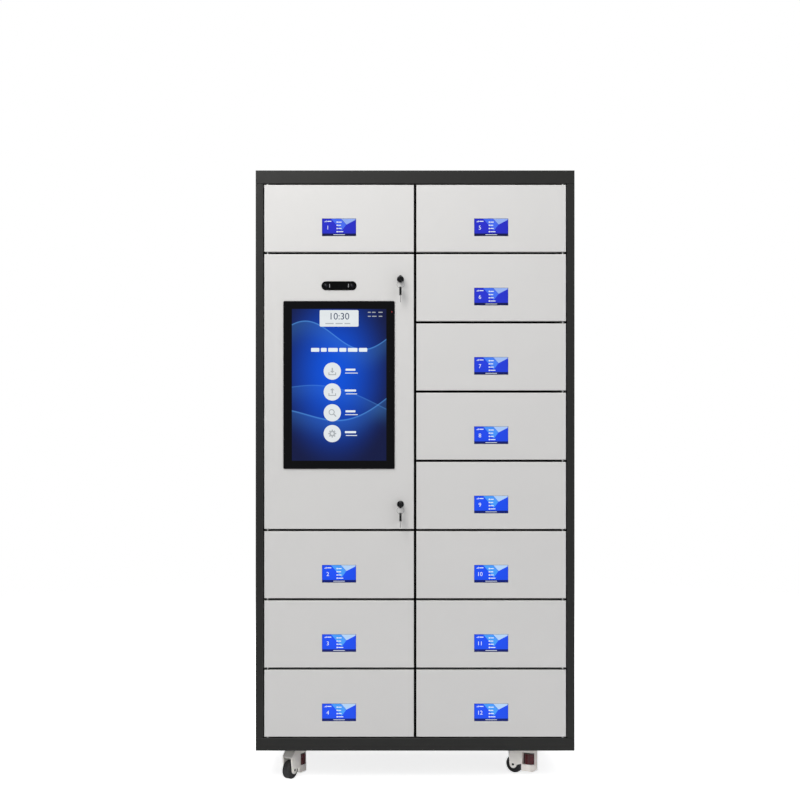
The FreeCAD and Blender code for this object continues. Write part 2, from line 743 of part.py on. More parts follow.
def lock_board(x, back, top):
    """The lock board on its four standoffs."""
    width, depth, height = BOARD_SIZE
    face = back - BOARD_STANDOFF
    pieces = [box(x - width / 2, x + width / 2, face - depth, face, top - height, top)]
    half = STANDOFF_SIDE / 2
    for sx in (-1, 1):
        for sz in (-1, 1):
            px = x + sx * (width / 2 - STANDOFF_SIDE)
            pz = top - height / 2 + sz * (height / 2 - STANDOFF_SIDE)
            pieces.append(box(px - half, px + half, face, back, pz - half, pz + half))
    return join(pieces)


def inlet(x):
    """The mains inlet: a socket through the back panel with a flange outside."""
    z = inlet_z()
    w = INLET_WIDTH / 2 - INLET_PLAY
    low, high = z + INLET_PLAY, z + INLET_HEIGHT - INLET_PLAY
    outside = BACK - SHEET
    body = box(x - w, x + w, outside - INLET_DEPTH, outside, low, high)
    f = INLET_FLANGE
    flange = box(x - w - f, x + w + f, outside, outside + INLET_PROUD, low - f, high + f)
    wall = INLET_FLANGE
    well = box(
        x - w + wall, x + w - wall, outside - INLET_DEPTH + wall, outside + INLET_PROUD,
        low + wall, high - wall,
    )
    return join([body, flange]).cut(well)


# Casters, built about their swivel axis with the wheel towards local +X, then turned and moved
def caster_places():
    x, y_front, y_back = HALF_WIDTH - CASTER_INSET_X, FRONT + CASTER_INSET_Y, BACK - CASTER_INSET_Y
    return {
        "front_left": (-x, y_front), "front_right": (x, y_front),
        "rear_left": (-x, y_back), "rear_right": (x, y_back),
    }


def arm_outside():
    """Half the width of the casting, over its arms."""
    return WHEEL_WIDTH / 2 + ARM_GAP + ARM_THICKNESS


def dial_radius():
    return arm_outside() + DIAL_PROUD


def body_reach():
    """From the swivel axis to the front and the back of the body round the dial."""
    return dial_radius() + DIAL_PLAY + BODY_WALL


def caster_trail():
    """From the swivel axis to the axle."""
    return body_reach() + WHEEL_GAP + WHEEL_RADIUS


def casting_top():
    return CASTER_HEIGHT - CASTER_PLATE_THICKNESS - SWIVEL_GAP


def hood_x(clear, z):
    """X of the hood's slope, so far clear of the axle, at a height."""
    turn = math.radians(HOOD_SLOPE)
    return caster_trail() + (clear - math.cos(turn) * (z - WHEEL_RADIUS)) / math.sin(turn)


def hood_z(clear, x):
    """Height of the hood's slope, so far clear of the axle, at an X."""
    turn = math.radians(HOOD_SLOPE)
    return WHEEL_RADIUS + (clear - math.sin(turn) * (x - caster_trail())) / math.cos(turn)


def caster_plate():
    """The fixed plate under the base, with the kingpin that the casting turns on."""
    half = CASTER_PLATE / 2
    under = CASTER_HEIGHT - CASTER_PLATE_THICKNESS
    plate = box(-half, half, -half, half, under, CASTER_HEIGHT)
    return join([plate, facets(KINGPIN_FACETS, KINGPIN_RADIUS, (0, 0, SLOT_TOP), (0, 0, under))])


def casting_profile():
    """The casting seen from its side: body with a rounded heel, hood and the arm end round the axle."""
    top, trail, reach = casting_top(), caster_trail(), body_reach()
    clear = WHEEL_RADIUS + HOOD_GAP + HOOD_WALL
    nose = trail + HOOD_REACH + HOOD_WALL
    arm_end = []
    for n in range(ARM_END_FACETS + 1):
        angle = -math.pi * n / ARM_END_FACETS
        arm_end.append((trail + ARM_BOSS * math.cos(angle), WHEEL_RADIUS + ARM_BOSS * math.sin(angle)))
    heel = []
    for n in range(HEEL_FACETS + 1):
        angle = -math.pi / 2 * (1 + n / HEEL_FACETS)
        x = BODY_HEEL * (1 + math.cos(angle)) - reach
        heel.append((x, BODY_BOTTOM + BODY_HEEL * (1 + math.sin(angle))))
    profile = [(-reach, top), (hood_x(clear, top), top), (nose, hood_z(clear, nose))] + arm_end
    return profile + [(reach, SLOT_FLOOR), (reach, BODY_BOTTOM)] + heel


def wheel_pocket():
    """The room for the wheel, seen from the side: it leaves the hood above and is open below and ahead."""
    reach, ceiling = body_reach(), casting_top() - HOOD_WALL
    clear = WHEEL_RADIUS + HOOD_GAP
    nose = caster_trail() + HOOD_REACH
    beyond = caster_trail() + clear + HOOD_WALL
    return [
        (reach, 0), (reach, ceiling), (hood_x(clear, ceiling), ceiling),
        (nose, hood_z(clear, nose)), (beyond, hood_z(clear, nose)), (beyond, 0),
    ]


def caster_housing():
    """The casting: its profile across the whole width with a round back, open to both sides at the dial,
    with a pocket for the pad, the wheel's pocket between two arms, and the axle riveted in them."""
    outside = arm_outside()
    inside = outside - ARM_THICKNESS
    reach, trail, top = body_reach(), caster_trail(), casting_top()
    casting = prism([(x, 0, z) for x, z in casting_profile()], (0, -outside, 0), (0, outside, 0))
    plan = box(-reach, casting.BoundBox.XMax, -outside, outside, 0, top)
    rear = [e for e in plan.Edges for y in (-outside, outside) if _upright_at(e, -reach, y)]
    casting = casting.common(plan.makeFillet(outside - BODY_FLAT / 2, rear))
    slot = dial_radius() + DIAL_PLAY
    guide = STEM_SIDE / 2 + STEM_GUIDE_PLAY
    casting = casting.cut([
        prism([(x, 0, z) for x, z in wheel_pocket()], (0, -inside, 0), (0, inside, 0)),
        box(-slot, slot, -outside, outside, SLOT_FLOOR, SLOT_TOP),
        cylinder(KINGPIN_RADIUS + KINGPIN_PLAY, (0, 0, SLOT_TOP), (0, 0, top)),
        facets(PAD_FACETS, PAD_RADIUS + PAD_GAP, (0, 0, 0), (0, 0, pad_top() + PAD_GAP)),
        box(-guide, guide, -guide, guide, BODY_BOTTOM, SLOT_FLOOR),
    ])
    axle = facets(AXLE_FACETS, AXLE_RADIUS, (trail, -inside, WHEEL_RADIUS), (trail, inside, WHEEL_RADIUS))
    return [join([casting, axle])]


def caster_wheel():
    """A solid wheel with a running bore."""
    half = WHEEL_WIDTH / 2
    trail = caster_trail()
    ends = (trail, -half, WHEEL_RADIUS), (trail, half, WHEEL_RADIUS)
    return [cylinder(WHEEL_RADIUS, *ends).cut(faceted_bore(AXLE_FACETS, AXLE_RADIUS + AXLE_PLAY, *ends))]


def caster_dial():
    """The toothed thumb dial on the levelling stem, a little proud of the casting's sides."""
    low = SLOT_FLOOR + SWIVEL_GAP
    points = []
    for n in range(2 * DIAL_TEETH):
        angle = math.pi * n / DIAL_TEETH
        radius = dial_radius() if n % 2 == 0 else dial_radius() - DIAL_TOOTH
        points.append((radius * math.cos(angle), radius * math.sin(angle), 0))
    ends = (0, 0, low), (0, 0, low + DIAL_HEIGHT)
    thread = STEM_SIDE / math.sqrt(2) + STEM_PLAY
    return [prism(points, *ends).cut(faceted_bore(THREAD_FACETS, thread, *ends))]


def pad_top():
    return PAD_CLEARANCE + PAD_THICKNESS


def caster_foot():
    """The rubber pad, drawn up into the casting, and its stem: a square bar, threaded on its corners, which
    the square hole in the casting keeps from turning with the dial."""
    top = pad_top()
    half = STEM_SIDE / 2
    pad = facets(PAD_FACETS, PAD_RADIUS, (0, 0, PAD_CLEARANCE), (0, 0, top))
    return [pad, box(-half, half, -half, half, top, STEM_TOP)]


def placed(shapes, name):
    """Copies of caster pieces, turned and moved to one corner of the base."""
    x, y = caster_places()[name]
    moved = []
    for shape in shapes:
        copy = shape.copy()
        copy.rotate(FreeCAD.Vector(0, 0, 0), FreeCAD.Vector(0, 0, 1), CASTER_TURNS[name])
        copy.translate(FreeCAD.Vector(x, y, 0))
        moved.append(copy)
    return moved


def caster_plates():
    """The four plates, square to the cabinet."""
    plates = []
    for x, y in caster_places().values():
        plate = caster_plate()
        plate.translate(FreeCAD.Vector(x, y, 0))
        plates.append(plate)
    return plates


def nodes():
    """Every node's name with its list of solids."""
    made = {
        "left_side_panel": side_panel(LEFT),
        "right_side_panel": side_panel(RIGHT),
        "top_panel": [rail_pan(Z_TOP, OPENING_TOP)],
        "base_panel": [rail_pan(Z_BASE, OPENING_BOTTOM)],
        "back_panel": [back_panel()],
        "centre_channel": [centre_channel()],
        "shelves": shelves(),
        "hinge_rods": hinge_rods(),
        "electric_locks": electric_locks(),
        "caster_plates": caster_plates(),
        "control_equipment": control_equipment(),
        "control_door": [control_door()],
        "touch_glass": [touch_glass()],
        "monitor_case": [monitor_case()],
        "camera_module": camera_module(),
        "lock_barrels": lock_barrels(),
    }
    for side, row in door_rows():
        label = f"{side_name(side)}_{row + 1}"
        made[f"door_{label}"] = [storage_door(side, row)]
        made[f"display_{label}"] = [display(side, row)]
    for label, z in zip(("upper", "lower"), lock_heights()):
        made[f"{label}_key"] = key_set(z)
        made[f"{label}_key_ring"] = key_ring(z)
    pieces = {
        "housing": caster_housing(), "wheel": caster_wheel(), "dial": caster_dial(), "foot": caster_foot(),
    }
    for corner in caster_places():
        for piece, shapes in pieces.items():
            made[f"caster_{corner}_{piece}"] = placed(shapes, corner)
    return made


def main():
    os.makedirs("parts", exist_ok=True)
    for name, solids in nodes().items():
        shape = solids[0] if len(solids) == 1 else Part.makeCompound(solids)
        shape.exportStep(f"parts/{name}.step")


if __name__ == "__main__":
    main()
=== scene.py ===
"""Finishes the smart storage cabinet on its fixed frame: paint, screens, locks, equipment, casters, stage."""

import json
import math

import bmesh
import bpy
from bpy.props import FloatProperty, FloatVectorProperty, PointerProperty
from mathutils import Matrix, Vector

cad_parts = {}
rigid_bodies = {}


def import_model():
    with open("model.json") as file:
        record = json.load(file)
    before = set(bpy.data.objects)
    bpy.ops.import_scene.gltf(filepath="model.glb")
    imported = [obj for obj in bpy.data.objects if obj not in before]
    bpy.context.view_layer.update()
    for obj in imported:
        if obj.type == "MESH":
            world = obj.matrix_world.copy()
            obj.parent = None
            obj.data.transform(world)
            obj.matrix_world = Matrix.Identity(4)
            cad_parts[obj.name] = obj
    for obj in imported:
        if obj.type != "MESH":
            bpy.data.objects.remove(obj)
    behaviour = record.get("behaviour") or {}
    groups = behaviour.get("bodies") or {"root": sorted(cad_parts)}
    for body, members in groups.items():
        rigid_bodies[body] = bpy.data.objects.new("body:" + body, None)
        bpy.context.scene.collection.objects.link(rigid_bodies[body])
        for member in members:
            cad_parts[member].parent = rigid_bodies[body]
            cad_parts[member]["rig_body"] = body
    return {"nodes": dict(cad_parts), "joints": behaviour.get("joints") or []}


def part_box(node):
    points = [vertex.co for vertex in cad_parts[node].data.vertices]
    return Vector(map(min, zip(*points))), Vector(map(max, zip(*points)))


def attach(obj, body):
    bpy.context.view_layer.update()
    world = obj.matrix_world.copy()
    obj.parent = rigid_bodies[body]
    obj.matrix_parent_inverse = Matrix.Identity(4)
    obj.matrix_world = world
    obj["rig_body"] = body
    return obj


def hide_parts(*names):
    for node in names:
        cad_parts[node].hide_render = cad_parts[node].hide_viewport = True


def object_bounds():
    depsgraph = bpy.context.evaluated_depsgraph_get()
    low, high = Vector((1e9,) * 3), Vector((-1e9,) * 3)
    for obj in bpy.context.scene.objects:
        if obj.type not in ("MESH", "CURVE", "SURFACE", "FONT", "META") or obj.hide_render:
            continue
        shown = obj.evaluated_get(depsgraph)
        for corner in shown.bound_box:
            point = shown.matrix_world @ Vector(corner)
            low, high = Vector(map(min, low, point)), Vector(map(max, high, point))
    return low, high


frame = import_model()
CAD_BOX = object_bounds()

bl_info = {
    "name": "Smart storage cabinet finish",
    "version": (1, 0, 0),
    "blender": (4, 5, 0),
    "location": "View3D > Sidebar > Cabinet",
    "description": "Paints a steel storage cabinet and adds its screens, locks, equipment, casters and stage",
    "category": "Object",
}

# Settings and places are in metres. The sizes, profiles and pictures that are drawn are in millimetres.
MM = 0.001
WELD = 1e-6
FLAT = math.radians(0.4)
SHARP = math.radians(24)
SMOOTH = math.radians(38)
EDGE = "rounded_edge"
FRONT_WAY = Vector((0, -1, 0))
BACK_WAY = Vector((0, 1, 0))
UP = Vector((0, 0, 1))
SIDES = (-1, 1)

JOINTS = {joint["name"]: joint for joint in frame["joints"]}
COMPARTMENTS = sorted(name[len("display_"):] for name in frame["nodes"] if name.startswith("display_"))
CORNERS = ("front_left", "front_right", "rear_left", "rear_right")


def colour(label, description, default):
    """A colour that the user may change."""
    return FloatVectorProperty(name=label, description=description, subtype="COLOR", size=3, min=0.0, max=1.0,
                               default=default)


def length(label, description, millimetres):
    """A length that the user may change, given in millimetres and kept in metres."""
    return FloatProperty(name=label, description=description, unit="LENGTH", min=0.0, precision=5,
                         default=millimetres * MM)


def power(label, which, watts):
    """The power of a light that the user may change."""
    return FloatProperty(name=label, description=f"Power of the {which}", unit="POWER", default=watts)


class PaintFinish(bpy.types.PropertyGroup):
    """Paint on the steel and on the castings."""

    frame_colour: colour("Frame", "Charcoal powder coat of the carcass", (0.014, 0.014, 0.0128))
    door_colour: colour("Doors", "Light warm grey powder coat of the doors", (0.688, 0.680, 0.668))
    ivory_colour: colour("Casters", "Ivory paint of the caster castings", (0.80, 0.77, 0.73))
    grain: length("Grain", "Size of the orange peel in the powder coat", 0.9)
    rounding: length("Edge rounding", "Radius that the coat leaves on sheet edges", 0.35)


class ScreenFinish(bpy.types.PropertyGroup):
    """Light of the touch screen and of the door displays."""

    display_indigo: colour("Display indigo", "Blue of the highest displays", (0.025, 0.032, 0.60))
    display_azure: colour("Display azure", "Blue of the lowest displays", (0.014, 0.084, 0.92))
    display_pale: colour("Display pale", "Pale facet of the highest displays", (0.29, 0.42, 0.86))
    display_sky: colour("Display sky", "Pale facet of the lowest displays", (0.46, 0.65, 0.92))
    screen_navy: colour("Screen edge", "Blue at the edges of the touch screen", (0.006, 0.010, 0.055))
    screen_blue: colour("Screen middle", "Blue in the middle of the touch screen", (0.003, 0.084, 0.70))
    screen_sky: colour("Screen sweep", "Pale sweeps on the touch screen", (0.11, 0.40, 0.95))
    white: colour("Lit white", "White of the lit marks", (0.80, 0.86, 0.90))


class CasterFinish(bpy.types.PropertyGroup):
    """Wheels and dials of the levelling casters."""

    wheel_colour: colour("Wheel", "Black nylon of the wheels", (0.012, 0.012, 0.013))
    dial_colour: colour("Dial", "Dark red of the levelling dials", (0.065, 0.003, 0.006))
    shoulder: length("Shoulder", "Rounding of the wheels' shoulders", 3.6)
    rivet: length("Rivet", "Radius of the axle's riveted head", 3.8)


class EquipmentFinish(bpy.types.PropertyGroup):
    """Equipment in the control bay."""

    board_colour: colour("Circuit board", "Solder mask of the lock board", (0.008, 0.075, 0.030))
    relay_colour: colour("Relays", "Cases of the relays", (0.010, 0.045, 0.19))


class StageLook(bpy.types.PropertyGroup):
    """Camera and light."""

    camera_place: FloatVectorProperty(name="Camera", description="Where the camera stands", subtype="XYZ",
                                      unit="LENGTH", size=3, default=(-0.0474, -4.2325, 1.1999))
    lens: FloatProperty(name="Lens", description="Focal length", unit="CAMERA", default=57.42)
    key_power: power("Key", "soft light at the upper left", 61.0)
    fill_power: power("Fill", "soft light at the right", 18.0)
    top_power: power("Top", "overhead light", 64.0)
    low_power: power("Low", "low light on the casters", 0.2)
    rear_power: power("Rear", "light behind", 60.0)
    ambient: FloatProperty(name="Ambient", description="Strength of the surrounding light", default=0.34)


SETTINGS = {
    "cabinet_paint": PaintFinish, "cabinet_screens": ScreenFinish, "cabinet_casters": CasterFinish,
    "cabinet_equipment": EquipmentFinish, "cabinet_stage": StageLook,
}


def setting(name):
    """The value of a setting, found by its name."""
    for settings in SETTINGS:
        look = getattr(bpy.context.scene, settings)
        if name in look.__annotations__:
            return getattr(look, name)
    raise KeyError(name)


# Node helpers

def join(tree, value, socket):
    """Links a socket to the one given, or sets its value."""
    if isinstance(value, bpy.types.NodeSocket):
        tree.links.new(value, socket)
    elif socket.type == "RGBA":
        socket.default_value = (*tuple(value)[:3], 1.0)
    else:
        socket.default_value = value


def add(tree, kind, inputs=None, **settings):
    """A new node with its settings made and its inputs joined."""
    made = tree.nodes.new(kind)
    for key, value in settings.items():
        setattr(made, key, value)
    for key, value in (inputs or {}).items():
        join(tree, value, made.inputs[key])
    return made


def sums(tree, operation, *values):
    """A Math node's result."""
    return add(tree, "ShaderNodeMath", dict(enumerate(values)), operation=operation).outputs[0]


def product(tree, value, *factors):
    """A value multiplied by each factor in turn."""
    for factor in factors:
        value = sums(tree, "MULTIPLY", value, factor)
    return value


def distance(tree, *offsets):
    """How far off a spot lies, from its offsets along two axes."""
    squares = [sums(tree, "POWER", offset, 2.0) for offset in offsets]
    return sums(tree, "SQRT", sums(tree, "ADD", *squares))


def mixed(tree, factor, first, second):
    """Two colours mixed by a mask."""
    return add(tree, "ShaderNodeMix", {0: factor, 6: first, 7: second}, data_type="RGBA").outputs[2]


def ramped(tree, value, low, high, to_low=0.0, to_high=1.0):
    """A value eased from one range to another and held at its ends."""
    inputs = {0: value, 1: low, 2: high, 3: to_low, 4: to_high}
    return add(tree, "ShaderNodeMapRange", inputs, interpolation_type="SMOOTHSTEP").outputs[0]


def noise(tree, place, scale, detail=2.0):
    """A noise value at a place."""
    return add(tree, "ShaderNodeTexNoise", {"Vector": place, "Scale": scale, "Detail": detail}).outputs["Fac"]


def object_place(tree):
    return add(tree, "ShaderNodeTexCoord").outputs["Object"]


def ways(tree, vector):
    """The X, Y and Z of a vector."""
    return add(tree, "ShaderNodeSeparateXYZ", {"Vector": vector}).outputs


def picture_place(tree):
    """X across and Y up a picture, from 0 to 1."""
    return ways(tree, add(tree, "ShaderNodeTexCoord").outputs["UV"])


def patches(tree, scale, detail, low, high, least=0.0):
    """Soft patches on a surface: a noise that rises from its least to 1 between two values."""
    return ramped(tree, noise(tree, object_place(tree), scale, detail), low, high, least, 1.0)


def group(name, inputs, outputs):
    """A node group with named sockets: the tree, what it is given and what it puts out."""
    tree = bpy.data.node_groups.new(name, "ShaderNodeTree")
    for label, value in inputs.items():
        kind = "NodeSocketColor" if isinstance(value, tuple) else "NodeSocketFloat"
        socket = tree.interface.new_socket(label, in_out="INPUT", socket_type=kind)
        socket.default_value = (*value, 1.0) if isinstance(value, tuple) else value
    for label in outputs:
        kind = "NodeSocketColor" if label == "Colour" else "NodeSocketFloat"
        tree.interface.new_socket(label, in_out="OUTPUT", socket_type=kind)
    return tree, tree.nodes.new("NodeGroupInput").outputs, tree.nodes.new("NodeGroupOutput").inputs


# Effects that the finishes share

MID_GREY = (0.5, 0.5, 0.5)


def coating_grain(name):
    """Orange peel: a fine height, and a roughness that wanders between two values."""
    tree, given, result = group(name, {"Size": 0.001, "Low": 0.4, "High": 0.5}, ("Height", "Roughness"))
    fine_share, broad_scale = 0.75, 0.05
    place = object_place(tree)
    scale = sums(tree, "DIVIDE", 1.0, given["Size"])
    fine = noise(tree, place, scale)
    broad = noise(tree, place, product(tree, scale, broad_scale), 3.0)
    height = sums(tree, "ADD", product(tree, fine, fine_share), product(tree, broad, 1.0 - fine_share))
    join(tree, height, result["Height"])
    join(tree, ramped(tree, broad, 0.3, 0.7, given["Low"], given["High"]), result["Roughness"])
    return tree


def tone_drift(name):
    """A colour that grows a little lighter and darker in soft patches."""
    tree, given, result = group(name, {"Base": MID_GREY, "Patch": 0.3, "Amount": 0.03}, ("Colour",))
    noise_gain = 4.0
    wave = noise(tree, object_place(tree), sums(tree, "DIVIDE", 1.0, given["Patch"]), 4.0)
    swing = product(tree, sums(tree, "SUBTRACT", wave, 0.5), product(tree, given["Amount"], noise_gain))
    value = sums(tree, "ADD", swing, 1.0)
    made = add(tree, "ShaderNodeHueSaturation", {"Value": value, "Color": given["Base"]})
    join(tree, made.outputs["Color"], result["Colour"])
    return tree


def edge_wear(name):
    """Rounded edges, where the coat is thin and rubbed."""
    inputs = {"Base": MID_GREY, "Worn": (0.6, 0.6, 0.6), "Amount": 0.3}
    tree, given, result = group(name, inputs, ("Colour", "Mask"))
    on_edge = add(tree, "ShaderNodeAttribute", attribute_name=EDGE).outputs["Fac"]
    rubbed = patches(tree, scale=45.0, detail=5.0, low=0.38, high=0.66)
    mask = product(tree, on_edge, rubbed, given["Amount"])
    join(tree, mixed(tree, mask, given["Base"], given["Worn"]), result["Colour"])
    join(tree, mask, result["Mask"])
    return tree


def settled_dust(name):
    """Pale dust on the faces that look up."""
    inputs = {"Base": MID_GREY, "Dust": (0.5, 0.48, 0.45), "Amount": 0.1}
    tree, given, result = group(name, inputs, ("Colour", "Mask"))
    upward = ways(tree, add(tree, "ShaderNodeNewGeometry").outputs["Normal"])["Z"]
    settled = patches(tree, scale=9.0, detail=6.0, low=0.3, high=0.75, least=0.3)
    mask = product(tree, ramped(tree, upward, 0.55, 0.98), settled, given["Amount"])
    join(tree, mixed(tree, mask, given["Base"], given["Dust"]), result["Colour"])
    join(tree, mask, result["Mask"])
    return tree


def drawn_lines(name):
    """Fine lines along the height, as drawing and brushing leave on metal."""
    tree, given, result = group(name, {"Size": 0.0006, "Low": 0.25, "High": 0.4}, ("Height", "Roughness"))
    stretch = (1.0, 1.0, 0.03)
    place = add(tree, "ShaderNodeMapping", {"Vector": object_place(tree), "Scale": stretch}).outputs[0]
    lines = noise(tree, place, sums(tree, "DIVIDE", 1.0, given["Size"]), 3.0)
    join(tree, lines, result["Height"])
    join(tree, ramped(tree, lines, 0.25, 0.75, given["Low"], given["High"]), result["Roughness"])
    return tree


def light_sweep(name):
    """One curved sweep of light across a lit picture, sharp above and fading below."""
    inputs = {"Height": 0.5, "Swing": 0.1, "Turns": 3.0, "Start": 0.0, "Fade": 0.2, "Slope": 0.0}
    tree, given, result = group(name, inputs, ("Mask",))
    soft_edge = 0.004
    spot = picture_place(tree)
    angle = sums(tree, "MULTIPLY_ADD", spot["X"], given["Turns"], given["Start"])
    line = sums(tree, "MULTIPLY_ADD", sums(tree, "SINE", angle), given["Swing"], given["Height"])
    line = sums(tree, "MULTIPLY_ADD", spot["X"], given["Slope"], line)
    under = sums(tree, "SUBTRACT", line, spot["Y"])
    left = sums(tree, "SUBTRACT", 1.0, ramped(tree, under, 0.0, given["Fade"]))
    edge = ramped(tree, under, -soft_edge, soft_edge)
    join(tree, product(tree, sums(tree, "POWER", left, 2.0), edge), result["Mask"])
    return tree


def backlight(name):
    """A lit ground: one colour in the middle, another towards the edges."""
    inputs = {"Middle": (0.1, 0.2, 0.8), "Rim": (0.0, 0.0, 0.1), "Across": 0.5, "Up": 0.5, "Reach": 0.6}
    tree, given, result = group(name, inputs, ("Colour",))
    spot = picture_place(tree)
    across = sums(tree, "SUBTRACT", spot["X"], given["Across"])
    up = sums(tree, "SUBTRACT", spot["Y"], given["Up"])
    far = sums(tree, "DIVIDE", distance(tree, across, up), given["Reach"])
    join(tree, mixed(tree, ramped(tree, far, 0.0, 1.0), given["Middle"], given["Rim"]), result["Colour"])
    return tree


def panel_shift(name):
    """A display's colour, deeper on the high doors and paler on the low ones."""
    tree, given, result = group(name, {"High": (0.0, 0.0, 0.5), "Low": (0.0, 0.1, 0.9)}, ("Colour",))
    lowest, highest = 0.75, 1.75
    height = ways(tree, object_place(tree))["Z"]
    mask = ramped(tree, height, lowest, highest)
    join(tree, mixed(tree, mask, given["Low"], given["High"]), result["Colour"])
    return tree


def effect(tree, builder, **inputs):
    """A shared effect placed in a material with its own values."""
    name = builder.__name__.replace("_", " ")
    shared = bpy.data.node_groups.get(name) or builder(name)
    return add(tree, "ShaderNodeGroup", inputs, node_tree=shared).outputs


# Finishes

DUST = (0.42, 0.41, 0.38)

# Sweeps on the touch screen: the share and the fade of the haze, those of the bright edge, and the line
SCREEN_SWEEPS = (
    ((0.10, 0.22), (0.55, 0.016), {"Height": 0.28, "Swing": 0.10, "Turns": 3.4, "Start": 2.6, "Slope": 0.16}),
    ((0.08, 0.20), (0.30, 0.012), {"Height": 0.46, "Swing": 0.07, "Turns": 3.0, "Start": 0.4, "Slope": -0.1}),
    ((0.12, 0.24), (0.60, 0.014), {"Height": 0.82, "Swing": 0.10, "Turns": 5.0, "Start": 0.9, "Slope": 0.02}),
)


def fresh(name, **constants):
    """A new material: itself, its tree and its shader."""
    material = bpy.data.materials.new(name)
    material.use_nodes = True
    shader = material.node_tree.nodes["Principled BSDF"]
    for key, value in constants.items():
        join(material.node_tree, value, shader.inputs[key.replace("_", " ").title().replace("Ior", "IOR")])
    return material, material.node_tree, shader.inputs


def bumped(tree, shader, height, depth, strength=0.5):
    """A bump of a real depth on the shader's normal."""
    made = add(tree, "ShaderNodeBump", {"Height": height, "Distance": depth, "Strength": strength})
    join(tree, made.outputs[0], shader["Normal"])


def coated(name, base, rough, grain, depth, drift=0.02, worn=None, wear=0.0, dust=0.0, **constants):
    """A painted or moulded surface: drifting tone, orange peel, rubbed edges and a little dust."""
    material, tree, shader = fresh(name, **constants)
    tone = effect(tree, tone_drift, Base=base, Patch=0.22, Amount=drift)["Colour"]
    if wear:
        tone = effect(tree, edge_wear, Base=tone, Worn=worn, Amount=wear)["Colour"]
    if dust:
        tone = effect(tree, settled_dust, Base=tone, Dust=DUST, Amount=dust)["Colour"]
    peel = effect(tree, coating_grain, Size=grain, Low=rough[0], High=rough[1])
    join(tree, tone, shader["Base Color"])
    join(tree, peel["Roughness"], shader["Roughness"])
    bumped(tree, shader, peel["Height"], depth)
    return material


def metal(name, base, rough, line, depth):
    """Bare or plated metal with drawn lines and a drifting tone."""
    material, tree, shader = fresh(name, metallic=1.0)
    lines = effect(tree, drawn_lines, Size=line, Low=rough[0], High=rough[1])
    tone = effect(tree, tone_drift, Base=base, Patch=0.03, Amount=0.06)["Colour"]
    join(tree, tone, shader["Base Color"])
    join(tree, lines["Roughness"], shader["Roughness"])
    bumped(tree, shader, lines["Height"], depth, 0.3)
    return material


def glossy(name, base, rough, **constants):
    """Smooth glass or lacquer with faint finger marks in its gloss."""
    material, tree, shader = fresh(name, **constants)
    marks = effect(tree, coating_grain, Size=0.004, Low=rough[0], High=rough[1])
    tone = effect(tree, tone_drift, Base=base, Patch=0.05, Amount=0.1)["Colour"]
    join(tree, tone, shader["Base Color"])
    join(tree, marks["Roughness"], shader["Roughness"])
    return material


def lit(name, roughness=0.2):
    """A new material for what glows behind glass."""
    return fresh(name, base_color=(0.002, 0.002, 0.002), roughness=roughness, emission_strength=1.0,
                 specular_ior_level=0.12)


def lamp(name, light, low=None):
    """A lit mark, its light a little uneven and, where a low tone is given, shifting with height."""
    material, tree, shader = lit(name)
    if low:
        light = effect(tree, panel_shift, High=light, Low=low)["Colour"]
    tone = effect(tree, tone_drift, Base=light, Patch=0.02, Amount=0.03)["Colour"]
    join(tree, tone, shader["Emission Color"])
    return material


def screen_ground(name, middle, rim, sweep):
    """The lit ground of the touch screen: brighter in the middle, with sweeps of light."""
    material, tree, shader = lit(name, 0.18)
    tone = effect(tree, backlight, Middle=middle, Rim=rim, Across=0.45, Up=0.58, Reach=0.68)["Colour"]
    for haze, edge, line in SCREEN_SWEEPS:
        for share, fade in (haze, edge):
            mask = effect(tree, light_sweep, Fade=fade, **line)["Mask"]
            tone = mixed(tree, product(tree, mask, share), tone, sweep)
    join(tree, tone, shader["Emission Color"])
    return material


def display_ground(name, high, low, rim_share):
    """The lit ground of a door display: one tone shifting with height, deeper towards the right."""
    material, tree, shader = lit(name)
    tone = effect(tree, panel_shift, High=high, Low=low)["Colour"]
    rim = add(tree, "ShaderNodeHueSaturation", {"Value": rim_share, "Color": tone}).outputs["Color"]
    ground = effect(tree, backlight, Middle=tone, Rim=rim, Across=0.36, Up=0.62, Reach=0.85)["Colour"]
    join(tree, ground, shader["Emission Color"])
    return material


def perforated(name, base, hole, pitch, radius):
    """Sheet with a square pattern of round holes, dark and sunk: the holes are not cut, their darkness is
    painted shade and their depth a bump.
    """
    material, tree, shader = fresh(name, metallic=0.85)
    soft_edge = 0.04
    spot = ways(tree, object_place(tree))
    offsets = []
    for way in ("X", "Z"):
        part = sums(tree, "FRACT", sums(tree, "DIVIDE", spot[way], pitch))
        offsets.append(sums(tree, "SUBTRACT", part, 0.5))
    share = radius / pitch
    mask = ramped(tree, distance(tree, *offsets), share - soft_edge, share + soft_edge)
    tone = effect(tree, tone_drift, Base=base, Patch=0.05, Amount=0.04)["Colour"]
    peel = effect(tree, coating_grain, Size=0.001, Low=0.3, High=0.45)
    # Inside the holes the dark colour is painted shade; the sheet is not cut.
    join(tree, mixed(tree, mask, hole, tone), shader["Base Color"])
    join(tree, peel["Roughness"], shader["Roughness"])
    bumped(tree, shader, mask, 0.8 * MM, 0.8)
    return material


def fading_floor(name, base, glow, near, far):
    """A pale floor that glows a little and fades out into the white round it."""
    material, tree, shader = fresh(name, base_color=base, emission_color=(1.0, 1.0, 1.0))
    seen = add(tree, "ShaderNodeLightPath").outputs["Is Camera Ray"]
    join(tree, product(tree, seen, glow), shader["Emission Strength"])
    spot = ways(tree, object_place(tree))
    away = distance(tree, spot["X"], spot["Y"])
    join(tree, ramped(tree, away, near, far, 1.0, 0.0), shader["Alpha"])
    peel = effect(tree, coating_grain, Size=0.02, Low=0.75, High=0.9)
    join(tree, peel["Roughness"], shader["Roughness"])
    return material


def recipe(builder, **values):
    """How a finish is made: its builder and what this is given, where a word stands for a setting."""
    return builder, values


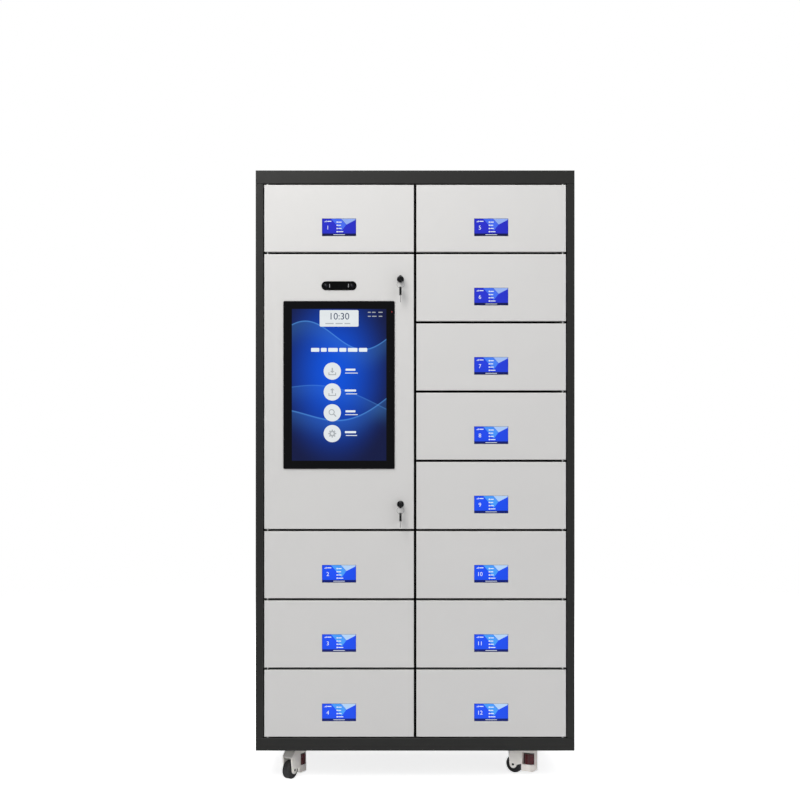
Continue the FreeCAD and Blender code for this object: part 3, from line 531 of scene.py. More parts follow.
FINISHES = {
    "charcoal powder coat": recipe(
        coated, base="frame_colour", rough=(0.465, 0.49), grain="grain", depth=0.03 * MM, drift=0.02,
        worn=(0.055, 0.055, 0.052), wear=0.45, dust=0.04, specular_ior_level=0.35),
    "light grey powder coat": recipe(
        coated, base="door_colour", rough=(0.36, 0.46), grain="grain", depth=0.04 * MM, drift=0.008,
        worn=(0.80, 0.79, 0.77), wear=0.5, dust=0.03),
    "ivory casting paint": recipe(
        coated, base="ivory_colour", rough=(0.30, 0.44), grain=1.6 * MM, depth=0.10 * MM, drift=0.03,
        worn=(0.50, 0.47, 0.40), wear=0.4, dust=0.08),
    "nylon wheel": recipe(
        coated, base="wheel_colour", rough=(0.34, 0.52), grain=0.7 * MM, depth=0.04 * MM, drift=0.10,
        worn=(0.03, 0.03, 0.03), wear=0.5, dust=0.06),
    "red dial": recipe(
        coated, base="dial_colour", rough=(0.16, 0.28), grain=0.8 * MM, depth=0.03 * MM, drift=0.06,
        worn=(0.24, 0.03, 0.03), wear=0.4, dust=0.03),
    "rubber": recipe(
        coated, base=(0.016, 0.016, 0.016), rough=(0.62, 0.78), grain=0.6 * MM, depth=0.06 * MM, drift=0.10),
    # Near-black foam of the strips behind the door gaps: a foam seal whose colour is painted shade in the
    # gaps.
    "seal foam": recipe(
        coated, base=(0.0015, 0.0015, 0.0015), rough=(0.85, 0.95), grain=0.5 * MM, depth=0.08 * MM,
        drift=0.10, specular_ior_level=0.05),
    "moulded black": recipe(
        coated, base=(0.011, 0.011, 0.012), rough=(0.38, 0.52), grain=0.6 * MM, depth=0.04 * MM, drift=0.08,
        worn=(0.03, 0.03, 0.03), wear=0.4, dust=0.05),
    "key plastic": recipe(
        coated, base=(0.004, 0.004, 0.0045), rough=(0.26, 0.40), grain=0.5 * MM, depth=0.03 * MM, drift=0.08,
        worn=(0.03, 0.03, 0.03), wear=0.4, specular_ior_level=0.3),
    "circuit board": recipe(
        coated, base="board_colour", rough=(0.22, 0.34), grain=1.5 * MM, depth=0.03 * MM, drift=0.12,
        worn=(0.30, 0.22, 0.06), wear=0.6),
    "relay case": recipe(
        coated, base="relay_colour", rough=(0.28, 0.38), grain=0.6 * MM, depth=0.03 * MM, drift=0.06),
    "terminal green": recipe(
        coated, base=(0.010, 0.16, 0.035), rough=(0.34, 0.46), grain=0.6 * MM, depth=0.03 * MM, drift=0.06),
    "anodised black": recipe(
        coated, base=(0.020, 0.020, 0.022), rough=(0.34, 0.46), grain=0.5 * MM, depth=0.03 * MM, drift=0.06,
        worn=(0.14, 0.14, 0.14), wear=0.5, dust=0.05, metallic=0.7),
    "zinc plate": recipe(
        metal, base=(0.58, 0.58, 0.56), rough=(0.28, 0.42), line=0.9 * MM, depth=0.02 * MM),
    "bright steel": recipe(
        metal, base=(0.66, 0.65, 0.63), rough=(0.16, 0.28), line=0.4 * MM, depth=0.01 * MM),
    "black nickel": recipe(
        metal, base=(0.036, 0.036, 0.039), rough=(0.20, 0.32), line=0.4 * MM, depth=0.01 * MM),
    "brass pins": recipe(
        metal, base=(0.62, 0.46, 0.20), rough=(0.22, 0.36), line=0.5 * MM, depth=0.01 * MM),
    # Case of the power supply, its holes painted as dark shade.
    "perforated case": recipe(
        perforated, base=(0.55, 0.55, 0.54), hole=(0.010, 0.010, 0.010), pitch=9 * MM, radius=2.8 * MM),
    "bezel glass": recipe(
        glossy, base=(0.0025, 0.0025, 0.003), rough=(0.05, 0.12), specular_ior_level=0.18),
    "gloss black": recipe(
        glossy, base=(0.0022, 0.0022, 0.0026), rough=(0.08, 0.16), specular_ior_level=0.12),
    "lens glass": recipe(glossy, base=(0.004, 0.004, 0.010), rough=(0.02, 0.06)),
    # Pale windows on the camera bar: their pale colour is a painted glint.
    "light window": recipe(glossy, base=(0.30, 0.30, 0.31), rough=(0.12, 0.24)),
    "lit white": recipe(lamp, light="white"),
    "lit pale blue": recipe(lamp, light="display_pale", low="display_sky"),
    "lit mid blue": recipe(lamp, light=(0.066, 0.150, 0.86), low=(0.066, 0.330, 0.94)),
    "lit strip": recipe(lamp, light=(0.008, 0.010, 0.070), low=(0.006, 0.014, 0.160)),
    "lit card": recipe(lamp, light=(0.76, 0.80, 0.82)),
    "lit grey": recipe(lamp, light=(0.42, 0.45, 0.47)),
    "clock ink": recipe(lamp, light=(0.030, 0.050, 0.11)),
    "green lamp": recipe(lamp, light=(0.05, 0.70, 0.15)),
    "red lamp": recipe(lamp, light=(0.36, 0.030, 0.030)),
    "screen ground": recipe(screen_ground, middle="screen_blue", rim="screen_navy", sweep="screen_sky"),
    "display ground": recipe(display_ground, high="display_indigo", low="display_azure", rim_share=0.88),
    "pale floor": recipe(fading_floor, base=(0.86, 0.86, 0.86), glow=0.80, near=1.6, far=4.5),
}


def finished(name):
    """The material of that name, made on first use."""
    if name not in bpy.data.materials:
        builder, values = FINISHES[name]
        given = {key: setting(value) if isinstance(value, str) else value for key, value in values.items()}
        builder(name, **given)
    return bpy.data.materials[name]


# Mesh helpers

def mm(*lengths):
    """A vector from lengths in millimetres."""
    return Vector(lengths) * MM


def faces_of(verts):
    return {face for vert in verts for face in vert.link_faces}


def marked(faces, index):
    """Gives faces their place in the piece's list of finishes."""
    for face in faces:
        face.material_index = index


def corners_of(faces):
    """Lowest and highest corners of some faces."""
    points = [vert.co for face in faces for vert in face.verts]
    low = Vector([min(point[way] for point in points) for way in range(3)])
    high = Vector([max(point[way] for point in points) for way in range(3)])
    return low, high


def shells(bm):
    """The separate shells of a mesh, as lists of faces."""
    left = set(bm.faces)
    found = []
    while left:
        waiting = [left.pop()]
        shell = []
        while waiting:
            face = waiting.pop()
            shell.append(face)
            for edge in face.edges:
                for near in edge.link_faces:
                    if near in left:
                        left.remove(near)
                        waiting.append(near)
        found.append(shell)
    return found


def merged(node):
    """A copy of a node's solids with its triangles joined and its flat faces made whole."""
    bm = bmesh.new()
    bm.from_mesh(frame["nodes"][node].data)
    bm.faces.layers.float.new(EDGE)
    bmesh.ops.remove_doubles(bm, verts=bm.verts, dist=WELD)
    bmesh.ops.dissolve_limit(bm, angle_limit=FLAT, verts=bm.verts, edges=bm.edges)
    bm.normal_update()
    return bm


def rounded(bm, radius, segments=2, edges=None):
    """Rounds sharp edges, and marks the faces that this makes."""
    if edges is None:
        edges = [edge for edge in bm.edges if len(edge.link_faces) == 2 and edge.calc_face_angle() > SHARP]
    made = bmesh.ops.bevel(bm, geom=edges, offset=radius * MM, offset_type="OFFSET", segments=segments,
                           profile=0.5, affect="EDGES", clamp_overlap=True, material=-1)
    mark = bm.faces.layers.float.get(EDGE)
    for face in made["faces"]:
        face[mark] = 1.0


def drawing():
    """An empty mesh to build a new piece in."""
    bm = bmesh.new()
    bm.faces.layers.float.new(EDGE)
    return bm


def block(bm, centre, size, index=0, turn=None, radius=0.0):
    """A bar with its sizes along the axes, its edges rounded where a radius is given."""
    place = Matrix.Translation(centre) @ (turn or Matrix()) @ Matrix.Diagonal((*mm(*size), 1.0))
    made = bmesh.ops.create_cube(bm, size=1.0, matrix=place)
    faces = faces_of(made["verts"])
    marked(faces, index)
    if radius:
        rounded(bm, radius, edges=list({edge for face in faces for edge in face.edges}))


def lathe(bm, profile, centre, axis, steps, index=0, closed=False):
    """Spins a profile of (radius, height) points round an axis."""
    before = set(bm.faces)
    place = Matrix.Translation(centre) @ UP.rotation_difference(axis).to_matrix().to_4x4()
    verts = [bm.verts.new(place @ mm(radius, 0, height)) for radius, height in profile]
    pairs = list(zip(verts, verts[1:])) + ([(verts[-1], verts[0])] if closed else [])
    edges = [bm.edges.new(pair) for pair in pairs]
    bmesh.ops.spin(bm, geom=verts + edges, cent=centre, axis=axis, angle=2 * math.pi, steps=steps,
                   use_merge=True)
    marked([face for face in bm.faces if face not in before], index)


def screw_head(bm, centre, axis, radius, head=0, recess_shade=1, flat=0.5):
    """A pan head with a cross slot painted dark as shade, its height a share of its radius."""
    tall = radius * flat
    dome = [(0, tall), (radius * 0.55, tall * 0.95), (radius * 0.85, tall * 0.65), (radius, 0), (0, 0)]
    lathe(bm, dome, centre, axis, steps=14, index=head)
    turn = UP.rotation_difference(axis).to_matrix().to_4x4()
    # The cross slot is not cut: two thin dark bars laid on the head paint its shade.
    sunk, slot = 0.03, radius * 0.2
    top = centre + axis * (tall - sunk) * MM
    block(bm, top, (radius, slot, 0.2), recess_shade, turn)
    block(bm, top, (slot, radius, 0.22), recess_shade, turn)


def placed(name, bm, body, finishes, closed=True):
    """A finished piece that rides on a body. A new piece is welded, and its faces are turned outwards."""
    if closed:
        bmesh.ops.remove_doubles(bm, verts=bm.verts, dist=WELD)
        bmesh.ops.dissolve_degenerate(bm, edges=bm.edges, dist=WELD)
        bmesh.ops.recalc_face_normals(bm, faces=bm.faces)
    mesh = bpy.data.meshes.new(name)
    bm.to_mesh(mesh)
    bm.free()
    old_normals = mesh.attributes.get("custom_normal")
    if old_normals:
        mesh.attributes.remove(old_normals)
    mesh.shade_smooth()
    mesh.set_sharp_from_angle(angle=SMOOTH)
    for finish in finishes:
        mesh.materials.append(finished(finish))
    piece = bpy.data.objects.new(name, mesh)
    bpy.context.scene.collection.objects.link(piece)
    shading = piece.modifiers.new("flat faces stay flat", "WEIGHTED_NORMAL")
    shading.keep_sharp = True
    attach(piece, body)
    return piece


def middle_at(y, low, high):
    """The middle of a box, seen from the front, at a depth."""
    return Vector(((low.x + high.x) / 2, y, (low.z + high.z) / 2))


def body_of(node):
    return frame["nodes"][node]["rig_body"]


def skin(node, finishes, radius, pick=None, segments=2):
    """Stands for a node: the same solids with rounded edges, and a finish picked for each face."""
    bm = merged(node)
    marked(bm.faces, 0)
    if pick:
        pick(bm)
    rounded(bm, radius, segments)
    piece = placed(f"{node}_skin", bm, body_of(node), finishes, closed=False)
    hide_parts(node)


def dress(node, finish):
    """Gives a node whose shape is right its finish."""
    for slot in frame["nodes"][node].material_slots:
        slot.material = finished(finish)


class Picture:
    """A lit picture of thin closed tiles on the front of a box, measured from its own lower left corner."""

    tile = 0.08

    def __init__(self, low, high, margins):
        left, right, under, over = margins
        size = (high - low) / MM
        self.corner = low + mm(left, 0, under)
        self.width, self.height = size.x - left - right, size.z - under - over
        self.bm = drawing()
        self.bar(self.width / 2, self.height / 2, self.width, self.height, 0, level=0)

    def spot(self, across, up, level):
        return self.corner + mm(across, -self.tile * (level + 0.5), up)

    def bar(self, across, up, width, height, index, level=1, turn=0.0):
        size = width, self.tile, height
        block(self.bm, self.spot(across, up, level), size, index, Matrix.Rotation(turn, 4, "Y"))

    def card(self, across, up, width, height, corner, index, level=1, steps=32):
        """A tile with rounded corners, drawn out from a disc."""
        turn = Matrix.Rotation(math.pi / 2, 4, "X") @ Matrix.Rotation(math.pi / steps, 4, "Z")
        made = bmesh.ops.create_cone(self.bm, cap_ends=True, segments=steps, radius1=corner * MM,
                                     radius2=corner * MM, depth=self.tile * MM, matrix=turn)
        centre = self.spot(across, up, level)
        reach = mm(width / 2 - corner, 0, height / 2 - corner)
        for vert in made["verts"]:
            out = Vector((math.copysign(reach.x, vert.co.x), 0, math.copysign(reach.z, vert.co.z)))
            vert.co += centre + out
        marked(faces_of(made["verts"]), index)

    def disc(self, across, up, radius, index, level=1, steps=48):
        self.card(across, up, 2 * radius, 2 * radius, radius, index, level, steps)

    def ring(self, across, up, outer, inner, index, level=1, steps=32):
        half = self.tile / 2
        profile = [(inner, -half), (outer, -half), (outer, half), (inner, half)]
        lathe(self.bm, profile, self.spot(across, up, level), FRONT_WAY, steps, index, closed=True)

    def facet(self, points, index, level=1):
        """A tile with straight sides between a few corners."""
        back = [self.bm.verts.new(self.corner + mm(u, -self.tile * level, v)) for u, v in points]
        face = self.bm.faces.new(back)
        marked([face], index)
        grown = bmesh.ops.extrude_face_region(self.bm, geom=[face], use_keep_orig=True)["geom"]
        moved = [part for part in grown if isinstance(part, bmesh.types.BMVert)]
        bmesh.ops.translate(self.bm, verts=moved, vec=FRONT_WAY * self.tile * MM)
        marked(faces_of(moved), index)

    def digits(self, text, across, up, tall, index, level=1):
        """Plain figures, made a mesh before they are put in place."""
        em_share = 1.4
        curve = bpy.data.curves.new("figures", "FONT")
        curve.body = text
        curve.size = tall * em_share * MM
        curve.extrude = self.tile / 2 * MM
        curve.align_x = "CENTER"
        curve.align_y = "CENTER"
        writing = bpy.data.objects.new("figures", curve)
        mesh = bpy.data.meshes.new_from_object(writing)
        while mesh.uv_layers:
            mesh.uv_layers.remove(mesh.uv_layers[0])
        upright = Matrix.Rotation(math.pi / 2, 4, "X")
        mesh.transform(Matrix.Translation(self.spot(across, up, level)) @ upright)
        before = set(self.bm.faces)
        self.bm.from_mesh(mesh)
        marked([face for face in self.bm.faces if face not in before], index)
        bpy.data.objects.remove(writing)
        bpy.data.curves.remove(curve)
        bpy.data.meshes.remove(mesh)

    def show(self, name, body, finishes):
        """The finished picture, mapped to its own face."""
        spread = self.bm.loops.layers.uv.new("picture")
        for face in self.bm.faces:
            for loop in face.loops:
                off = (loop.vert.co - self.corner) / MM
                loop[spread].uv = (off.x / self.width, off.z / self.height)
        placed(name, self.bm, body, finishes)


# Operators

class CABINET_OT_carcass(bpy.types.Operator):
    """Paint the carcass and plate its hinge rods"""

    bl_idname = "cabinet.carcass"
    bl_label = "Carcass"

    sheets = ("left_side_panel", "right_side_panel", "top_panel", "base_panel", "back_panel",
              "centre_channel", "shelves")
    bumper = ((0, 4.6), (2.6, 4.4), (3.6, 3.4), (4.2, 0), (0, 0))
    bumper_aside = 11
    bumper_inset = 28
    seal_width = 9.0
    seal_thickness = 4.2
    seal_reach = 440
    seal_edge = 0.8
    screws_in_a_side = 8
    screw_aside = 10
    screw_inset = 70

    def execute(self, context):
        for node in self.sheets:
            skin(node, ["charcoal powder coat"], setting("rounding") / MM)
        dress("hinge_rods", "zinc plate")
        self.bumpers()
        self.seals()
        self.rear_screws()
        return {"FINISHED"}

    def bumpers(self):
        """Rubber buttons on the channel, on which the doors close."""
        bm = drawing()
        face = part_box("centre_channel")[0].y
        inset = self.bumper_inset * MM
        for label in COMPARTMENTS:
            low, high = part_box(f"door_{label}")
            x = math.copysign(self.bumper_aside * MM, low.x + high.x)
            for z in (low.z + inset, high.z - inset):
                lathe(bm, self.bumper, Vector((x, face, z)), FRONT_WAY, steps=16)
        placed("door_bumpers", bm, "cabinet", ["rubber"])

    def seals(self):
        """Foam strips on the channel and on the shelves' lips, behind the gaps between the doors; their
        near-black colour is painted shade in the gaps.
        """
        bm = drawing()
        wide, thick = self.seal_width, self.seal_thickness
        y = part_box("centre_channel")[0].y - thick / 2 * MM
        bottom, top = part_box("door_right_8")[0].z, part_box("door_right_1")[1].z
        upright = (wide, thick, (top - bottom) / MM)
        block(bm, Vector((0, y, (bottom + top) / 2)), upright, radius=self.seal_edge)
        level = (self.seal_reach - wide / 2, thick, wide)
        middle = (self.seal_reach + wide / 2) / 2 * MM
        for side, column in zip(SIDES, ("left", "right")):
            doors = [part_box(f"door_{label}") for label in COMPARTMENTS if label.startswith(column)]
            if column == "left":
                doors.append(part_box("control_door"))
            doors.sort(key=lambda box: -box[1].z)
            for upper, lower in zip(doors, doors[1:]):
                z = (upper[0].z + lower[1].z) / 2
                block(bm, Vector((side * middle, y, z)), level, radius=self.seal_edge)
        # The near-black foam paints shade in the gaps between the doors.
        placed("door_seals", bm, "cabinet", ["seal foam"])

    def rear_screws(self):
        """Screws that hold the back in the folded rear edges."""
        bm = drawing()
        low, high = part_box("back_panel")
        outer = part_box("left_side_panel")[1].y
        x = CAD_BOX[1][0] - self.screw_aside * MM
        first, last = low.z + self.screw_inset * MM, high.z - self.screw_inset * MM
        for side in SIDES:
            for step in range(self.screws_in_a_side):
                z = first + (last - first) * step / (self.screws_in_a_side - 1)
                screw_head(bm, Vector((side * x, outer, z)), BACK_WAY, radius=3.6, flat=0.18)
        # The black finish paints the shade in the screws' cross slots.
        placed("rear_screws", bm, "cabinet", ["zinc plate", "moulded black"])


class CABINET_OT_doors(bpy.types.Operator):
    """Paint the doors and plate their strikes"""

    bl_idname = "cabinet.doors"
    bl_label = "Doors"

    behind_back = 18.2

    def execute(self, context):
        for node in ["control_door"] + [f"door_{label}" for label in COMPARTMENTS]:
            skin(node, ["light grey powder coat", "zinc plate"], setting("rounding") / MM, self.strike)
        return {"FINISHED"}

    def strike(self, bm):
        """The strike stands behind the door's back."""
        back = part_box("control_door")[0].y + self.behind_back * MM
        marked([face for face in bm.faces if face.calc_center_median().y > back], 1)


class CABINET_OT_displays(bpy.types.Operator):
    """Light the display in each door"""

    bl_idname = "cabinet.displays"
    bl_label = "Door displays"

    finishes = ("display ground", "lit mid blue", "lit pale blue", "lit strip", "lit white")
    mid, pale, strip, white = range(1, 5)
    edge = 7.7
    facets = (
        (pale, ((0.56, 1.0), (0.72, 0.66), (0.99, 0.93), (0.99, 1.0))),
        (mid, ((0.26, 1.0), (0.55, 1.0), (0.715, 0.65), (0.58, 0.30))),
    )
    line_lengths = (0.10, 0.085, 0.10, 0.15)
    back_screw_inset = 6
    socket_place = (32, 1.5, 20)

    def execute(self, context):
        for number, label in enumerate(COMPARTMENTS, 1):
            node = f"display_{label}"
            dress(node, "moulded black")
            low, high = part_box(node)
            picture = Picture(low, high, [self.edge] * 4)
            self.lay_out(picture, number)
            picture.show(f"{node}_picture", body_of(node), self.finishes)
            self.module_back(node, low, high)
        return {"FINISHED"}

    def module_back(self, node, low, high):
        """Screws and a cable socket on the back of a display module."""
        bm = drawing()
        inset = self.back_screw_inset * MM
        for x in (low.x + inset, high.x - inset):
            for z in (low.z + inset, high.z - inset):
                screw_head(bm, Vector((x, high.y, z)), BACK_WAY, radius=2.2)
        socket = Vector((low.x, high.y, low.z)) + mm(*self.socket_place)
        block(bm, socket, (20, 3, 7), radius=0.4)
        block(bm, socket + mm(0, 1.5, 0), (17, 0.3, 4), index=1)
        placed(f"{node}_back", bm, body_of(node), ["bright steel", "moulded black"])

    def lay_out(self, picture, number):
        """Facets, a dark foot, a level mark, a number and four lines of bars."""
        wide, tall = picture.width, picture.height
        for finish, corners in self.facets:
            picture.facet([(wide * across, tall * up) for across, up in corners], finish)
        foot = tall * 0.14
        picture.bar(wide / 2, foot / 2, wide, foot, self.strip)
        picture.bar(wide / 2, foot / 2, wide * 0.34, foot * 0.2, self.white, level=2)
        for step in range(3):
            high = 2.0 + 1.5 * step
            picture.bar(wide * 0.075 + 2.6 * step, tall * 0.80 + high / 2, 1.7, high, self.white, level=2)
        picture.bar(wide * 0.21, tall * 0.845, wide * 0.12, 2.6, self.white, level=2)
        picture.digits(str(number), wide * 0.165, tall * 0.47, 12.5, self.white, level=2)
        for step, share in enumerate(self.line_lengths):
            up, long = tall * (0.80 - 0.185 * step), wide * share
            picture.card(wide * 0.445, up, 4.2, 4.2, 1.2, self.white, level=2, steps=16)
            picture.bar(wide * 0.475 + long / 2, up, long, 2.6, self.white, level=2)


class CABINET_OT_touch_screen(bpy.types.Operator):
    """Glaze and light the touch screen in the control door"""

    bl_idname = "cabinet.touch_screen"
    bl_label = "Touch screen"

    finishes = ("screen ground", "lit white", "lit card", "lit grey", "clock ink")
    white, card, grey, ink = range(1, 5)
    margins = (27.0, 26.3, 25.8, 25.0)
    clock_card = (121.7, 51.8)
    clock_drop = 29.4
    clock_bars = ((-30, 26), (0, 22), (26, 18))
    title_bars = (26, 18, 30, 22, 30, 26)
    title_place = (60.0, 128)
    title_gap = 4.8
    button_place = (126.5, 280.5)
    button_pitch = 65.2
    button_radius = 27
    lamp_dome = ((0, 0.4), (1.2, 0.3), (1.8, 0), (0, 0))
    boss = ((0, 0), (7, 0), (7, 1.2), (3, 1.2), (3, 0.5), (0, 0.5))
    boss_aside = 50
    louvres = 12
    sockets = ((-60, 22), (-30, 18), (0, 18), (32, 26))

    def execute(self, context):
        skin("touch_glass", ["bezel glass"], radius=0.6)
        skin("monitor_case", ["moulded black"], radius=1.2, segments=3)
        low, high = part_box("touch_glass")
        picture = Picture(low, high, self.margins)
        self.head(picture)
        self.buttons(picture)
        picture.show("screen_picture", "control_door", self.finishes)
        self.bezel_lamp(low, high)
        self.case_back()
        return {"FINISHED"}

    def head(self, picture):
        """A clock card, two status lines and a title of plain bars."""
        middle, top = picture.width / 2, picture.height
        picture.card(middle, top - self.clock_drop, *self.clock_card, 4, self.card)
        picture.digits("10:30", middle, top - 24, 21, self.ink, level=2)
        for off, wide in self.clock_bars:
            picture.bar(middle + off, top - 45.5, wide, 3.2, self.grey, level=2)
        for row, drop in enumerate((10.4, 22.9)):
            for start, wide in ((238, 9), (251, 11 + 3 * row), (271 + row, 13 - 2 * row)):
                picture.bar(start + wide / 2, top - drop, wide, 2.8, self.grey)
        start, drop = self.title_place
        for wide in self.title_bars:
            picture.card(start + wide / 2, top - drop, wide, 12, 2.4, self.white, steps=16)
            start += wide + self.title_gap

    def buttons(self, picture):
        """Four round buttons in a column, each with a sign and a caption of bars."""
        across, highest = self.button_place
        for row, sign in enumerate((self.put_in, self.take_out, self.look_up, self.settings)):
            up = highest - self.button_pitch * row
            picture.disc(across, up, self.button_radius, self.card)
            sign(picture, across, up)
            odd = row % 2
            picture.card(across + 57, up + 4.5, 31 + 4 * odd, 6.4, 1.6, self.white, steps=16)
            picture.bar(across + 60, up - 6, 40 - 5 * odd, 2.4, self.white)

    def tray(self, picture, across, up):
        picture.bar(across, up - 11, 24, 3, self.grey, level=2)
        for side in SIDES:
            picture.bar(across + side * 10.5, up - 7, 3, 6, self.grey, level=2)

    def arrow(self, picture, across, up, way):
        """An arrow over the tray, upwards or downwards."""
        middle = up + 3
        picture.bar(across, middle - way * 2, 4, 11, self.grey, level=2)
        tip, base = middle + way * 9, middle + way * 2.5
        corners = [(across - 7, base), (across + 7, base), (across, tip)]
        picture.facet(corners if way > 0 else corners[::-1], self.grey, level=2)

    def put_in(self, picture, across, up):
        self.tray(picture, across, up)
        self.arrow(picture, across, up, -1)

    def take_out(self, picture, across, up):
        self.tray(picture, across, up)
        self.arrow(picture, across, up, 1)

    def look_up(self, picture, across, up):
        picture.ring(across - 2, up + 2, 9.5, 6.5, self.grey, level=2)
        picture.bar(across + 8, up - 8, 11, 3.6, self.grey, level=2, turn=math.pi / 4)

    def settings(self, picture, across, up):
        teeth, reach, tooth = 8, 10.4, 4.2
        picture.ring(across, up, 9, 4.5, self.grey, level=2)
        for step in range(teeth):
            turn = step * 2 * math.pi / teeth
            spot = across + reach * math.cos(turn), up + reach * math.sin(turn)
            picture.bar(*spot, tooth, tooth, self.grey, level=2, turn=-turn)

    def bezel_lamp(self, low, high):
        """The small lamp in the bezel beside the picture."""
        bm = drawing()
        spot = Vector((high.x, low.y, high.z)) - mm(9, 0, 34)
        lathe(bm, self.lamp_dome, spot, FRONT_WAY, steps=20)
        placed("bezel_lamp", bm, "control_door", ["red lamp"])

    def case_back(self):
        """Mounting bosses, louvres and sockets on the back of the monitor's case."""
        bm = drawing()
        low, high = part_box("monitor_case")
        back = middle_at(high.y, low, high)
        for across in SIDES:
            for up in SIDES:
                spot = back + mm(across * self.boss_aside, 0, up * self.boss_aside)
                lathe(bm, self.boss, spot, BACK_WAY, steps=24)
                screw_head(bm, spot + mm(0, 0.5, 0), BACK_WAY, radius=2.6, head=1, recess_shade=0)
        for side in SIDES:
            for step in range(self.louvres):
                block(bm, back + mm(0, 0, side * (95 + 7 * step)), (150, 1.0, 3.2), radius=0.3)
        for off, wide in self.sockets:
            spot = back + mm(off, 1.0, -72)
            block(bm, spot, (wide, 3.0, 9), index=1, radius=0.5)
            block(bm, spot + mm(0, 1.5, 0), (wide - 5, 0.4, 5))
        placed("monitor_case_back", bm, "control_door", ["moulded black", "bright steel"])


class CABINET_OT_camera_bar(bpy.types.Operator):
    """Gloss the camera bar and set its lenses"""

    bl_idname = "cabinet.camera_bar"
    bl_label = "Camera bar"

    lens_aside = 41
    window_aside = 29.5
    window = (2.6, 0.5, 11)
    rim = ((7.4, -0.8), (7.2, -0.2), (6.4, 0.1), (5.0, 0), (4.6, -0.3), (4.6, -0.8))
    lens = ((0, 0.5), (1.6, 0.42), (3.2, 0.2), (4.6, -0.2), (4.6, -0.8), (0, -0.8))
    sensor = ((0, 0.25), (1.3, 0.1), (1.6, -0.4), (0, -0.4))

    def execute(self, context):
        skin("camera_module", ["gloss black"], radius=0.3, segments=3)
        low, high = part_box("camera_module")
        face = middle_at(low.y, low, high)
        bm = drawing()
        for side in SIDES:
            spot = face + mm(side * self.lens_aside, 0, 0)
            lathe(bm, self.rim, spot, FRONT_WAY, steps=48, closed=True)
            lathe(bm, self.lens, spot, FRONT_WAY, steps=40, index=1)
            # Beside each lens is a small pale window whose pale colour is a painted glint on the bar.
            spot = face + mm(side * self.window_aside, 0.8, 0)
            block(bm, spot, self.window, index=2, radius=0.2)
        lathe(bm, self.sensor, face + mm(0, 0.6, 0), FRONT_WAY, steps=20, index=1)
        finishes = ["gloss black", "lens glass", "light window"]
        placed("camera_lenses", bm, "control_door", finishes)
        return {"FINISHED"}


class CABINET_OT_key_locks(bpy.types.Operator):
    """Finish the two cam locks, their keys and their spare keys"""

    bl_idname = "cabinet.key_locks"
    bl_label = "Key locks"

    lock_finishes = ("key plastic", "black nickel", "zinc plate")
    spare_finishes = ("key plastic", "bright steel")
    lip = ((6.2, 0), (8.8, 0), (8.8, 0.3), (8.2, 0.6), (6.8, 0.6), (6.2, 0.3))
    longer_than_a_head = 25 * MM
    wider_than_a_head = 15 * MM
    within_a_blade = 1.3 * MM
    flange_play = 0.5 * MM

    def execute(self, context):
        skin("lock_barrels", ["black nickel"], radius=0.5, segments=3)
        for label in ("upper", "lower"):
            skin(f"{label}_key", self.lock_finishes, radius=0.5, pick=self.lock_parts)
            self.lock_face(label)
            skin(f"{label}_key_ring", self.spare_finishes, radius=0.3, pick=self.spare_parts)
        return {"FINISHED"}

    def lock_parts(self, bm):
        """The cam is long, the plug starts at the barrel's face, and the rest is the key."""
        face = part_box("lock_barrels")[0].y
        for shell in shells(bm):
            low, high = corners_of(shell)
            if max(high.x - low.x, high.z - low.z) > self.longer_than_a_head:
                marked(shell, 2)
            elif low.y > face - self.flange_play:
                marked(shell, 1)

    def spare_parts(self, bm):
        """The ring and the spare key's blade are steel."""
        for shell in shells(bm):
            low, high = corners_of(shell)
            middle = (low.x + high.x) / 2
            is_ring = high.x - low.x > self.wider_than_a_head
            for face in shell:
                off = max(abs(vert.co.x - middle) for vert in face.verts)
                if is_ring or off < self.within_a_blade:
                    face.material_index = 1

    def lock_face(self, label):
        """A polished lip round the keyway."""
        x, _, z = JOINTS[f"{label}_key_turn"]["pos_m"]
        spot = Vector((x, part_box("lock_barrels")[0].y, z))
        bm = drawing()
        lathe(bm, self.lip, spot, FRONT_WAY, steps=48, closed=True)
        placed(f"{label}_lock_lip", bm, "control_door", ["black nickel"])


